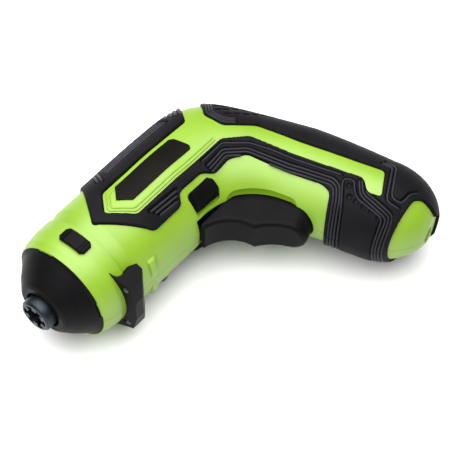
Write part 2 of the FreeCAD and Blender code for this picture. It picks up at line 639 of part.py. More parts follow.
def rubber_area():
    # side outline of the rubber: all round the body, less the panel, stripe and gap that it frames
    top = size("barrel_radius") + size("shell_wall") + size("grip_thickness")
    lean = size("frame_front_run") / size("frame_front_rise")
    outside = -2 * size("shell_wall")
    beyond = number("handle_depth + shell_wall + shell_wall")
    end = number("handle_straight + butt_dome + shell_wall")
    low = size("frame_lower")
    edge = [V(size("frame_nose") + lean * (top - size("frame_nose_height")), top, 0),
            V(size("frame_nose"), size("frame_nose_height"), 0), V(size("frame_corner"), low, 0),
            V(size("notch_front"), low, 0), V(number("notch_front + notch_slope"), size("notch_height"), 0),
            V(size("notch_rear"), size("notch_height"), 0), V(size("notch_end"), low, 0),
            V(size("frame_rear"), low, 0), on_handle(size("band_front"), size("band_top")),
            on_handle(size("band_front"), size("band_end")), on_handle(size("pad_corner"), size("pad_top")),
            on_handle(outside, number("pad_top + pad_fall")), on_handle(outside, size("butt_line_front")),
            on_handle(size("butt_line_middle"), number("butt_line_front + butt_line_fall")),
            on_handle(size("butt_line_back"), number("butt_line_front + butt_line_fall + butt_line_drop")),
            on_handle(size("butt_line_back"), end), on_handle(beyond, end),
            on_handle(beyond, size("band_top"))]
    edge.append(V(edge[-1].x, top, 0))
    rise = size("gap_slope_run") / size("gap_slope_rise")
    strap = size("strap_slope_run") / size("strap_slope_rise")
    panel = [V(size("window_rear"), size("window_top"), 0), V(size("window_front"), size("window_top"), 0),
             V(size("window_point"), size("window_point_height"), 0),
             V(size("window_front_low"), size("window_bottom"), 0),
             V(size("window_rear_low"), size("window_bottom"), 0),
             on_handle(size("stripe_front"), size("stripe_top")),
             on_handle(size("stripe_front"), size("stripe_end")),
             on_handle(size("stripe_hook"), number("stripe_end + hook_drop")),
             on_handle(size("stripe_hook"), number("stripe_end + hook_drop + hook_length")),
             on_handle(size("stripe_back"), size("stripe_close")),
             on_handle(size("stripe_back"), size("stripe_top")),
             V(size("strap_front"), size("strap_front_low"), 0),
             V(size("strap_front"), size("strap_front_high"), 0),
             V(size("strap_front") + strap * (top - size("strap_front_high")), top, 0),
             V(size("window_rear") + rise * (top - size("window_top")), top, 0)]
    return cut("rubber_area", slab("rubber_edge", edge, 0.0, FAR), slab("rubber_panel", panel, 0.0, FAR))


def label_area():
    low, high = size("label_bottom"), size("label_top")
    shoulder, rear, corner = number("label_front + label_slope"), size("label_rear"), size("label_corner")
    lean = size("label_slope") / 2 / (high - low)
    points = [V(size("label_front"), size("label_point"), 0), V(shoulder, low, 0),
              V(rear - corner, low, 0), V(rear - lean * corner, low + corner, 0),
              V(rear - lean * (high - low - corner), high - corner, 0),
              V(rear - lean * (high - low) - corner, high, 0), V(shoulder, high, 0)]
    return slab("label_area", points, 0.0, FAR)


def skin(name, form_half, thickness):
    envelope = left_half(name + "_half", body_loft(name + "_envelope", thickness))
    return cut(name + "_skin", envelope, form_half)


def make_body():
    form_half, hollow_half = body_forms()
    shell = half_shell(form_half, hollow_half)
    left = cut("left_housing", shell, fuse("left_cuts", slide_slot(), screw_holes("left")))
    right = cut("right_housing", mirrored("plain_right", shell), screw_holes("right"))
    rubber = common("left_grip", skin("rubber", form_half, size("grip_thickness")), rubber_area())
    recesses = doc.getObject("screw_holes_right")
    right_rubber = cut("right_grip", mirrored("plain_right_grip", rubber), recesses)
    label = common("label_plate", skin("label", form_half, size("label_thickness")), label_area())
    return form_half, [left, right, rubber, right_rubber, label]


def make_screws():
    solids = []
    for number_of, centre in enumerate(screw_places()):
        shank = post("screw_shank_%d" % number_of, size("screw_radius"), centre, -size("screw_seat"),
                     number("screw_reach - axial_gap"))
        head = post("screw_head_%d" % number_of, size("screw_head_radius"), centre,
                    -number("screw_seat + screw_head_height"), -size("screw_seat"))
        solids.append(fuse("screw_%d" % number_of, shank, head))
    return group("housing_screws", solids)


# Nose, bit holder and its bearing

def hexagon(name, half_flats, start, length):
    bar = doc.addObject("Part::Prism", name)
    bar.Polygon = 6
    bar.Circumradius = half_flats / math.cos(math.pi / 6)
    bar.Height = length
    return place(bar, V(start, 0, 0), ABOUT_Y)


def star_socket():
    # six teeth with parallel sides, whose tips grip the flats of a hexagonal bit
    wide, tip, half = size("socket_radius"), size("hex_half_flats"), size("tooth_half_width")
    root, end = math.asin(half / wide), math.asin(half / tip)
    points = []
    for tooth in range(6):
        middle = math.pi / 3 * tooth + math.pi / 6
        for turn, radius in ((-math.pi / 6, wide), (-root, wide), (-end, tip), (end, tip), (root, wide)):
            points.append(V(0, radius * math.cos(middle + turn), radius * math.sin(middle + turn)))
    outline = doc.addObject("Part::Feature", "socket_outline")
    outline.Shape = Part.Face(Part.makePolygon(points + points[:1]))
    return along_x("socket_cut", outline, size("socket_depth"))


def make_bit_holder():
    blank = turned("holder_blank", [
        (ON_AXIS, ON_AXIS), (ON_AXIS, "holder_radius - holder_chamfer"),
        ("holder_chamfer", "holder_radius"),
        ("holder_front", "holder_radius"), ("holder_front", "holder_neck_radius"),
        ("holder_head", "holder_neck_radius"), ("holder_head", "spindle_radius"),
        (CARRIER, "spindle_radius"),
        (CARRIER, "journal_radius"), (CLIP + " + clip_thickness + axial_gap", "journal_radius"),
        (CLIP + " + clip_thickness + axial_gap", ON_AXIS)])
    drive = hexagon("holder_drive", size("drive_half_flats"), number(CARRIER), size("carrier_thickness"))
    hexagon_cut = hexagon("holder_hex", size("hex_half_flats"), 0.0, size("hex_depth"))
    seat = rod("magnet_seat", "magnet_radius + seat_clearance", "hex_depth - axial_gap",
               "magnet_length + axial_gap")
    holder = cut("bit_holder", fuse("holder_solid", blank, drive),
                 fuse("holder_cuts", star_socket(), hexagon_cut, seat))
    magnet = rod("bit_magnet", "magnet_radius", "hex_depth", "magnet_length")
    return [holder, magnet]


def make_bearing():
    bush = turned("spindle_bush", [
        ("bush_front", "spindle_radius + run_clearance"), ("bush_front", "bush_radius"),
        (CASE_FLOOR, "bush_radius"), (CASE_FLOOR, "spindle_radius + run_clearance")])
    washer = turned("thrust_washer", [
        (WASHER, "spindle_radius + run_clearance"), (WASHER, "washer_radius"),
        (WASHER + " + washer_thickness", "washer_radius"),
        (WASHER + " + washer_thickness", "spindle_radius + run_clearance")])
    clip = turned("retaining_clip", [
        (CLIP, "journal_radius"), (CLIP, "clip_radius"), (CLIP + " + clip_thickness", "clip_radius"),
        (CLIP + " + clip_thickness", "journal_radius")])
    return [bush, washer, clip]


def make_collar():
    cone = turned("collar_cone", [
        ("collar_front", "collar_hole"), ("collar_front", "collar_front_radius"),
        ("collar_front + collar_lip", "collar_front_radius + collar_lip + collar_lip"),
        ("collar_belly", "barrel_radius - collar_belly_drop"),
        ("collar_breast", "barrel_radius - collar_breast_drop"),
        ("ring_front - collar_rim", "barrel_radius - collar_shoulder_drop"),
        ("ring_front", "barrel_radius - collar_rim_drop"),
        ("ring_front", "barrel_radius - ring_wall - collar_spigot_clearance"),
        ("ring_front + collar_spigot", "barrel_radius - ring_wall - collar_spigot_clearance"),
        ("ring_front + collar_spigot", "case_radius + lock_gap"),
        ("ring_front + axial_gap", "case_radius + lock_gap"),
        ("collar_front + collar_wall", "case_boss_radius + lock_gap + lock_gap"),
        ("collar_front + collar_wall", "collar_hole")])
    half = size("notch_width") / 2
    count = int(size("notch_count"))
    notches = []
    for step in range(count):
        spin = FreeCAD.Rotation(V(1, 0, 0), size("notch_angle") + 360.0 * step / count)
        corner = (number("ring_front - collar_rim - collar_rim"),
                  number("barrel_radius - collar_rim_drop - notch_depth"), -half)
        notches.append(block("collar_notch_%d" % step, corner, (size("ring_front"), FAR, half),
                             V(0, 0, 0), spin))
    return cut("nose_collar", cone, fuse("collar_notches", *notches))


# Planetary gears

def gear_face(teeth, tip, root, half_thickness_change, start, centre=V(0, 0, 0), turn=0.0):
    # tooth flanks follow the involute at root, pitch and tip radius, with straight flats between
    pressure = math.radians(size("pressure_angle"))
    pitch = size("gear_module") * teeth / 2
    base = pitch * math.cos(pressure)
    half = math.pi / (2 * teeth) + half_thickness_change / pitch + math.tan(pressure) - pressure

    def half_angle(radius):
        lean = math.acos(min(base / radius, 1.0))
        return half - (math.tan(lean) - lean)

    points = []
    for tooth in range(teeth):
        middle = turn + 2 * math.pi * tooth / teeth
        rising = [(radius, middle - half_angle(radius)) for radius in (root, pitch, tip)]
        falling = [(radius, middle + half_angle(radius)) for radius in (tip, pitch, root)]
        for radius, angle in rising + falling:
            points.append(centre + V(start, radius * math.cos(angle), radius * math.sin(angle)))
    return Part.Face(Part.makePolygon(points + points[:1]))


def gear(name, teeth, start, width, centre=V(0, 0, 0), turn=0.0):
    pitch = size("gear_module") * teeth / 2
    outline = doc.addObject("Part::Feature", name + "_outline")
    outline.Shape = gear_face(teeth, pitch + size("gear_module") * size("addendum"),
                              pitch - size("gear_module") * size("dedendum"), -size("backlash") / 2,
                              start, centre, turn)
    return along_x(name, outline, width)


def planet_turns():
    count = int(size("planet_count"))
    return [(letter, 2 * math.pi * step / count) for step, letter in zip(range(count), "abcdef")]


def orbit(turn):
    reach = size("gear_module") * (size("sun_teeth") + size("planet_teeth")) / 2
    return V(0, reach * math.cos(turn), reach * math.sin(turn))


def make_planets(stage, start):
    planets = []
    for letter, turn in planet_turns():
        name = "%s_planet_%s" % (stage, letter)
        blank = gear(name + "_teeth", int(size("planet_teeth")), number(start), size("planet_width"),
                     orbit(turn), turn)
        bore = rod(name + "_bore", "planet_pin_radius + run_clearance", start, "planet_width", orbit(turn))
        planets.append(cut(name, blank, bore))
    return planets


def carrier_pins(name, start, length):
    return [rod("%s_pin_%s" % (name, letter), "planet_pin_radius", start, length, orbit(turn))
            for letter, turn in planet_turns()]


def make_carriers():
    disc = rod("output_disc", "carrier_radius", CARRIER, "carrier_thickness")
    pins = carrier_pins("output", CARRIER,
                        "carrier_thickness + axial_gap + clip_thickness + gear_gap + planet_width")
    hole = hexagon("output_hole", number("drive_half_flats + seat_clearance"), number(CARRIER),
                   size("carrier_thickness"))
    output = cut("output_carrier", fuse("output_solid", disc, *pins), hole)
    plate = rod("first_disc", "carrier_radius", MIDDLE, "middle_carrier_thickness")
    sun = gear("first_sun", int(size("sun_teeth")), number(SECOND_STAGE),
               number("planet_width + gear_gap + gear_gap"))
    first_pins = carrier_pins("first", MIDDLE, "middle_carrier_thickness + gear_gap + planet_width")
    return [output, fuse("first_carrier", plate, sun, *first_pins)]


def make_gear_case():
    bore = "cover_radius + seat_clearance"
    blank = turned("case_blank", [
        ("bush_front", "bush_radius"), ("bush_front", "case_boss_radius"),
        ("case_wall_front", "case_boss_radius"), ("case_wall_front", "case_radius"), (MOTOR, "case_radius"),
        (MOTOR, bore), (COVER, bore), (COVER, "carrier_radius + lock_gap"),
        (CASE_FLOOR, "carrier_radius + lock_gap"), (CASE_FLOOR, "bush_radius")])
    teeth = int(size("ring_teeth"))
    pitch = size("gear_module") * teeth / 2
    start = number(CLIP + " + clip_thickness")
    outline = doc.addObject("Part::Feature", "ring_gear_outline")
    outline.Shape = gear_face(teeth, pitch + size("gear_module") * size("dedendum"),
                              pitch - size("gear_module") * size("addendum"), size("backlash") / 2, start)
    spaces = along_x("ring_gear_spaces", outline, number(COVER) - start)
    return cut("gear_case", blank, spaces)


def motor_screw_places():
    reach = size("motor_screw_offset")
    return [V(0, reach, 0), V(0, -reach, 0)]


def make_cover():
    disc = turned("cover_disc", [
        (COVER, "cover_hole"), (COVER, "cover_radius"), (MOTOR, "cover_radius"), (MOTOR, "cover_hole")])
    ways = []
    for number_of, offset in enumerate(motor_screw_places()):
        ways.append(rod("cover_way_%d" % number_of, "motor_screw_radius + case_clearance", COVER,
                        "cover_thickness", offset))
        ways.append(rod("cover_sink_%d" % number_of, "motor_screw_head + case_clearance", COVER,
                        "motor_screw_head_height", offset))
    return cut("gear_cover", disc, fuse("cover_ways", *ways))


# Motor

def make_motor():
    hole = "shaft_radius + run_clearance"
    can = turned("can_blank", [
        (MOTOR + " - motor_boss", hole), (MOTOR + " - motor_boss", "motor_boss_radius"),
        (MOTOR, "motor_boss_radius"), (MOTOR, "motor_radius"), (MOTOR_CAP, "motor_radius"),
        (MOTOR_CAP, "motor_radius - can_wall"), (MOTOR + " + can_front", "motor_radius - can_wall"),
        (MOTOR + " + can_front", hole)])
    threads, screws = [], []
    for number_of, offset in enumerate(motor_screw_places()):
        threads.append(rod("motor_thread_%d" % number_of, "motor_screw_radius", MOTOR,
                           "motor_screw_length", offset))
        shank = rod("motor_screw_shank_%d" % number_of, "motor_screw_radius", COVER,
                    "motor_screw_length", offset)
        head = rod("motor_screw_head_%d" % number_of, "motor_screw_head", COVER,
                   "motor_screw_head_height", offset)
        screws.append(fuse("motor_screw_%d" % number_of, shank, head))
    cap = turned("motor_end_cap", [
        (MOTOR_CAP, hole), (MOTOR_CAP, "end_cap_radius"), (MOTOR_TAIL, "end_cap_radius"),
        (MOTOR_TAIL, hole)])
    half, thin = size("terminal_width") / 2, size("terminal_thickness") / 2
    tail = number(MOTOR_TAIL)
    blades = []
    for number_of, side in enumerate((-1, 1)):
        middle = side * size("terminal_offset")
        blades.append(block("terminal_%d" % number_of, (tail, middle - thin, -half),
                            (tail + size("terminal_length"), middle + thin, half)))
    shaft = turned("motor_shaft", [
        (FIRST_STAGE, ON_AXIS), (FIRST_STAGE, "shaft_radius"),
        (MOTOR_TAIL + " + shaft_tail", "shaft_radius"), (MOTOR_TAIL + " + shaft_tail", ON_AXIS)])
    teeth = gear("pinion_teeth", int(size("sun_teeth")), number(FIRST_STAGE),
                 number("planet_width + gear_gap"))
    bore = rod("pinion_bore", "shaft_radius", FIRST_STAGE, "planet_width + gear_gap")
    return [cut("motor_can", can, fuse("motor_threads", *threads)), cap, group("motor_terminals", blades),
            shaft, cut("drive_pinion", teeth, bore), group("motor_screws", screws)]


def make_motor_inside():
    # two curved magnets in the can, and the wound armature with its commutator on the shaft
    start, end = MOTOR + " + magnet_start", MOTOR + " + magnet_start + magnet_span"
    magnets = []
    for side in (0.0, 180.0):
        magnets.append(ring_sector("magnet_%d" % side, [
            (start, "magnet_inner"), (start, "motor_radius - can_wall"), (end, "motor_radius - can_wall"),
            (end, "magnet_inner")], 90.0 + side, size("magnet_half_angle")))
    front, back = MOTOR + " + armature_start", MOTOR + " + armature_start + armature_length"
    armature = turned("motor_armature", [
        (front, "shaft_radius"), (front, "armature_radius"), (back, "armature_radius"),
        (back, "commutator_radius"), (back + " + commutator_length", "commutator_radius"),
        (back + " + commutator_length", "shaft_radius")])
    return [group("motor_magnets", magnets), armature]


# Cell, board and charging socket

def make_power():
    depth = size("cell_depth_place")
    end, tab = size("cell_end"), size("tab_thickness")
    cell = handle_rod("battery_cell", size("cell_radius"), depth, CELL_TOP, end)
    tab_top = handle_rod("tab_top", size("tab_radius"), depth, CELL_TOP - tab, CELL_TOP)
    tab_low = handle_rod("tab_low", size("tab_radius"), depth, end, end + tab)
    sheet_block = board_block("board_sheet", 0.0, size("board_thickness"))
    face = number("cell_depth_place + cell_radius + board_gap + board_thickness")
    chips = []
    for number_of in range(int(size("chip_count"))):
        along = number("board_top + chip_place") + size("chip_step") * number_of
        side = size("board_width") / (number_of + size("chip_count"))
        chips.append(handle_block("chip_%d" % number_of, (face, face + size("chip_height")),
                                  (along, along + side), (-side / 2, side / 2)))
    start = end + tab + size("axial_gap")
    tube = handle_rod("charge_tube", size("charge_radius"), size("socket_place"), start, CHARGE_FACE)
    bore = handle_rod("charge_bore", size("charge_bore"), size("socket_place"),
                      start + size("shell_wall") / 2, CHARGE_FACE)
    pin = handle_rod("charge_pin", size("charge_pin"), size("socket_place"), start,
                     CHARGE_FACE - size("axial_gap"))
    return [cell, group("battery_tabs", [tab_top, tab_low]), fuse("control_board", sheet_block, *chips),
            fuse("charge_socket", cut("charge_shell", tube, bore), pin)]


# Trigger and switch

def trigger_outline():
    cusp = round_bend(size("cusp_depth"), size("cusp_angle"))
    lower = round_bend(size("lower_end_depth"), size("lower_end_angle"))
    tail = on_handle(size("tail_depth"), size("tail_place"))
    tail_end = on_handle(size("tail_end_depth"), size("tail_end_place"))
    tuck = on_handle(size("tuck_depth"), size("tuck_place"))
    corner = V(TRIGGER_TIP.x, TRIGGER_TOP, 0)
    back_start = V(number("bend_start + trigger_back_behind"), TRIGGER_TOP, 0)
    boss = size("pivot_boss")
    boss_low, boss_back, boss_high = PIVOT + ALONG * boss, PIVOT + ACROSS * boss, PIVOT - ALONG * boss
    first, last = size("handle_tilt"), size("trigger_back_angle")

    def on_back(angle):
        return round_bend(size("trigger_back_depth"), angle)

    edges = [Part.LineSegment(corner, TRIGGER_TIP),
             Part.Arc(TRIGGER_TIP, round_bend(size("scallop_depth"), size("scallop_angle")), cusp),
             Part.Arc(cusp, round_bend(size("lower_depth"), size("lower_angle")), lower),
             Part.Arc(lower, tail, tail_end), Part.LineSegment(tail_end, tuck),
             Part.LineSegment(tuck, boss_low),
             Part.Arc(boss_low, boss_back, boss_high), Part.LineSegment(boss_high, on_back(first)),
             Part.Arc(on_back(first), on_back((first + last) / 2), on_back(last)),
             Part.LineSegment(on_back(last), back_start), Part.LineSegment(back_start, corner)]
    outline = doc.addObject("Part::Feature", "trigger_outline")
    outline.Shape = Part.Face(Part.Wire([edge.toShape() for edge in edges]))
    return outline


def make_trigger():
    half = size("trigger_half_width")
    spare = half + size("trigger_edge")
    lever = common("trigger_lever", drawn("trigger_profile", trigger_outline(), -spare, spare),
                   tongue("trigger_end", 0.0))
    doc.recompute()
    rounded = doc.addObject("Part::Fillet", "trigger_rounded")
    rounded.Base = lever
    edges = [(index, size("trigger_edge"), size("trigger_edge"))
             for index, edge in enumerate(lever.Shape.Edges, start=1) if on_finger_side(edge, half)]
    rounded.Edges = edges
    wide = size("stop_half_width")
    high = STOP_LOW + size("stop_height")
    stop = block("trigger_stop", (STOP_FRONT, STOP_LOW, -wide), (STOP_REAR, high, wide))
    neck = block("trigger_neck", (TRIGGER_TIP.x, TRIGGER_TOP - size("trigger_edge"), -wide),
                 (STOP_REAR, high, wide))
    hole = post("trigger_hole", number("pin_radius + run_clearance"), PIVOT, -FAR, FAR)
    trigger = cut("trigger", fuse("trigger_solid", rounded, stop, neck), hole)
    pin = post("trigger_pin", size("pin_radius"), PIVOT, -size("pin_half_length"), size("pin_half_length"))
    return [trigger, pin]


def on_finger_side(edge, half):
    # the two scallops and the tail below them, on either side face and round the end of the trigger
    middle = edge.valueAt((edge.FirstParameter + edge.LastParameter) / 2)
    below = (middle - on_handle(0.0, number("tongue_end - trigger_half_width"))).dot(ALONG)
    reach = math.hypot(max(below, 0.0), middle.z)
    if abs(reach - half) > TOUCH or edge.tangentAt(edge.FirstParameter).isParallel(ACROSS, TOUCH):
        return False
    for point in [vertex.Point for vertex in edge.Vertexes]:
        ahead = (point - PIVOT).dot(ACROSS) < TOUCH - size("pivot_boss")
        if point.y > TRIGGER_TIP.y + TOUCH or not ahead:
            return False
        far = (point - BEND).Length > number("bend_radius + trigger_back_depth") - TOUCH
        if far and point.y > BEND.y:
            return False
    return True


def make_switch():
    near, deep = SWITCH_NEAR, SWITCH_NEAR + size("switch_depth")
    half, wide = size("switch_half_length"), size("switch_half_width")
    case = block("switch_case", (near, -half, -wide), (deep, half, wide), BEND, SWITCH)
    ray = SWITCH.multVec(V(1, 0, 0))
    upright = FreeCAD.Rotation(V(0, 0, 1), ray)

    def radial(name, radius, start, length):
        bar = doc.addObject("Part::Cylinder", name)
        bar.Radius, bar.Height = radius, length
        return place(bar, BEND + ray * start, upright)

    bore = radial("switch_bore", number("plunger_radius + run_clearance"), near, size("plunger_bore"))
    gap = size("button_clearance")
    sweep = number("arm_half_width + button_travel") + gap
    notch = block("switch_notch", (ROD_REAR, ARM_LOW - gap, -sweep), (ARM_REAR + gap, ARM_HIGH + gap, sweep))
    switch = cut("trigger_switch", case, fuse("switch_cuts", bore, notch))
    plunger = radial("switch_plunger", size("plunger_radius"), number("bend_radius + plunger_near"),
                     size("plunger_length"))
    return [switch, plunger]


def make_button():
    # each end is a block with a smaller step on top, both rounded like the body's surface
    bevel = size("button_bevel")
    steps = []
    for name, inset, proud in (("button_foot", 0.0, size("button_proud") - bevel),
                               ("button_top", bevel, size("button_proud"))):
        reach = left_half(name + "_half", body_loft(name + "_envelope", proud))
        bar = slab(name + "_bar", button_outline(-inset), size("button_inner"), FAR)
        steps.append(common(name, bar, reach))
    cap = fuse("button_cap", *steps)
    inner = number("button_inner + button_edge")
    link = block("button_link", (ROD_FRONT, ROD_LOW, -inner), (ROD_REAR, ROD_HIGH, inner))
    half = size("arm_half_width")
    arm = block("button_arm", (ROD_REAR - size("button_edge"), ARM_LOW, -half), (ARM_REAR, ARM_HIGH, half))
    return fuse("direction_button", cap, mirrored("button_right_cap", cap), link, arm)


# Lock slide and work lamp

def make_lock():
    inside, outside = "barrel_radius + slide_gap", "barrel_radius + slide_gap + slide_height"
    sector = ring_sector("slide_sector", [
        ("slide_front", inside), ("slide_front", outside), ("slide_rear", outside), ("slide_rear", inside)],
        size("slide_angle"), number("slide_half_angle + slide_spare"))
    half = size("barrel_radius") * math.sin(math.radians(size("slide_half_angle")))
    corner = size("slide_corner")
    points = clipped(size("slide_front"), size("slide_rear"), -half, half, corner, corner)
    outline = slab("slide_outline", points, 0.0, FAR)
    place(outline, V(0, 0, 0), FreeCAD.Rotation(V(1, 0, 0), size("slide_angle") - 90))
    rim = number(outside) - TOUCH
    cap = bevelled("slide_cap", common("slide_blank", sector, outline), size("slide_bevel"),
                   lambda point: math.hypot(point.y, point.z) > rim)
    grooves = []
    for side in (-1, 1):
        for step in range(int(size("groove_count"))):
            inward = size("groove_edge") + size("groove_step") * step
            turn = size("slide_angle") + side * (size("slide_half_angle") - inward)
            grooves.append(slide_block("slide_groove_%d_%d" % (side + 1, step), size("ring_front"),
                                       size("ring_rear"), turn, size("groove_half_angle"),
                                       number(outside + " - groove_depth"), FAR))
    stem = slide_block("slide_stem", size("stem_front"), size("stem_rear"), size("slide_angle"),
                       size("stem_half_angle"), size("lock_outer") - size("slide_height") / 2,
                       number(inside + " + slide_height") - size("slide_height") / 2)
    ring = turned("lock_blank", [
        ("lock_front", "case_radius + lock_gap"), ("lock_front", "lock_outer"), ("lock_rear", "lock_outer"),
        ("lock_rear", "case_radius + lock_gap")])
    slide = fuse("lock_slider", cut("slide_ribbed", cap, fuse("slide_grooves", *grooves)), stem)
    return [slide, cut("lock_ring", ring, stem)]


def lamp_block():
    # meeting of a front outline, with sloping flanks and a flat foot, and a side outline that leans
    turn = math.radians(size("lamp_half_angle"))
    base = number("barrel_radius - lamp_seat")
    reach = number("barrel_radius + lamp_height")
    flank = [(base * math.sin(turn), -base * math.cos(turn)),
             (size("lamp_shoulder"), size("lamp_shoulder_drop") - reach), (size("lamp_flat"), -reach)]
    across = flank + [(-left, down) for left, down in reversed(flank)]
    front, rear = size("lamp_front"), size("lamp_rear")
    outline = doc.addObject("Part::Feature", "lamp_front_outline")
    points = [V(front, down, left) for left, down in across]
    outline.Shape = Part.Face(Part.makePolygon(points + points[:1]))
    high = flank[0][1]
    side = [V(front, high, 0), V(front + size("lamp_lean"), -reach, 0),
            V(rear - size("lamp_slope"), -reach, 0), V(rear, -size("barrel_radius"), 0),
            V(rear, high - size("lamp_fall"), 0)]
    return common("lamp_block", along_x("lamp_front_form", outline, rear - front),
                  slab("lamp_side_form", side, -FAR, FAR))


def make_lamp(form):
    scoops, holes, leds = [], [], []
    for number_of, side in enumerate((-1, 1)):
        turn = math.radians(180.0 + side * size("lamp_half_angle"))
        ray = V(0, math.cos(turn), math.sin(turn))
        scoop = doc.addObject("Part::Cylinder", "lamp_scoop_%d" % number_of)
        scoop.Radius, scoop.Height = size("scoop_radius"), FAR
        scoops.append(place(scoop, V(size("lamp_saddle"), 0, 0), FreeCAD.Rotation(V(0, 0, 1), ray)))
        turn = math.radians(180.0 + side * size("led_angle"))
        spot = V(0, math.cos(turn), math.sin(turn)) * number("barrel_radius + led_standoff")
        holes.append(rod("led_hole_%d" % number_of, "led_radius + seat_clearance", "lamp_front",
                         "led_sink + led_length", spot))
        body = rod("led_body_%d" % number_of, "led_radius", "lamp_front + led_sink", "led_length", spot)
        dome = doc.addObject("Part::Sphere", "led_dome_%d" % number_of)
        bind(dome, Radius="led_radius")
        place(dome, V(number("lamp_front + led_sink"), spot.y, spot.z))
        leds.append(fuse("led_%d" % number_of, body, dome))
    cuts = fuse("lamp_cuts", form, mirrored("form_right", form), *(scoops + holes))
    return [cut("lamp_holder", lamp_block(), cuts), group("lamp_leds", leds)]


def make_all():
    form_half, pieces = make_body()
    pieces.append(make_screws())
    pieces += make_bit_holder()
    pieces += make_bearing()
    pieces.append(make_collar())
    pieces.append(make_gear_case())
    pieces.append(make_cover())
    pieces += make_carriers()
    pieces += make_planets("output", SECOND_STAGE)
    pieces += make_planets("first", FIRST_STAGE)
    pieces += make_motor()
    pieces += make_motor_inside()
    pieces += make_power()
    pieces += make_trigger()
    pieces += make_switch()
    pieces.append(make_button())
    pieces += make_lock()
    pieces += make_lamp(form_half)
    return pieces


def write_pieces(pieces):
    doc.recompute()
    failed = [obj.Name for obj in doc.Objects if "Invalid" in obj.State or "Error" in obj.State]
    failed += [piece.Label for piece in pieces if piece.Shape.isNull() or not piece.Shape.isValid()]
    if failed:
        raise RuntimeError("not built: " + ", ".join(failed))
    os.makedirs("parts", exist_ok=True)
    for piece in pieces:
        piece.Shape.exportStep("parts/%s.step" % piece.Label)
        print("%s: %d solid(s), %.1f mm3" % (piece.Label, len(piece.Shape.Solids), piece.Shape.Volume))


write_pieces(make_all())
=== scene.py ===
import bpy
import numpy as np
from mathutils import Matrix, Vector


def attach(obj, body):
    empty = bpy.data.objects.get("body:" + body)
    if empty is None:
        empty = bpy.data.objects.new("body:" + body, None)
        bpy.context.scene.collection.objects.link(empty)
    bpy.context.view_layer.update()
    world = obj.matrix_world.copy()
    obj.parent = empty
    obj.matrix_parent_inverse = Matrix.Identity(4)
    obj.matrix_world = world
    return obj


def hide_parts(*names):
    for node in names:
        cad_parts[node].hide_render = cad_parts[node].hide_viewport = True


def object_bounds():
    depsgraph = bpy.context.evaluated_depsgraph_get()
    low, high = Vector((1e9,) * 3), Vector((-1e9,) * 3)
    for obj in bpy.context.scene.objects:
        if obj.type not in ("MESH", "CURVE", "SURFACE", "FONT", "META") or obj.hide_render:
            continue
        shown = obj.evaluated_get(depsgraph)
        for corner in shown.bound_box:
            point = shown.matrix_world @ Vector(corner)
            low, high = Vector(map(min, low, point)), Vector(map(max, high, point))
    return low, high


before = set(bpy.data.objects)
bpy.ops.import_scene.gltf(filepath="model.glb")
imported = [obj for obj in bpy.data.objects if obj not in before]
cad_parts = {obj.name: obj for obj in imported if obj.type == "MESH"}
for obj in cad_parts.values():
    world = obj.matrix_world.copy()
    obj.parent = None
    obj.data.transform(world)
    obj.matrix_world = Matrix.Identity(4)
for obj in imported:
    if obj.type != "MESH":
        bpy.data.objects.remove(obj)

cadBox = [list(corner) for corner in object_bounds()]
mm = 0.001  # lengths below are millimetres until a mesh is made
quarter = np.pi / 2
print("frame loaded:", len(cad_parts), "solids")


# materials

def linear(hexText):
    # sRGB hex to linear light, with full alpha
    channel = np.array([int(hexText[i:i + 2], 16) / 255 for i in (1, 3, 5)])
    channel = np.where(channel <= 0.04045, channel / 12.92, ((channel + 0.055) / 1.055) ** 2.4)
    return (*channel, 1.0)


def addNode(tree, kind, settings, inputs):
    # a node with its settings; inputs are numbers, colours or another node's output
    node = tree.nodes.new("ShaderNode" + kind)
    for name, value in settings.items():
        setattr(node, name, value)
    for name, value in inputs.items():
        if isinstance(value, bpy.types.NodeSocket):
            tree.links.new(value, node.inputs[name])
        else:
            node.inputs[name].default_value = value
    return node


noiseRange = {"From Min": 0.3, "From Max": 0.7}  # most of a noise pattern's values lie here
seamGroove = dict(bottom=0.3, depth=6.0)  # flat share of its half width, and depth in heights of the grain


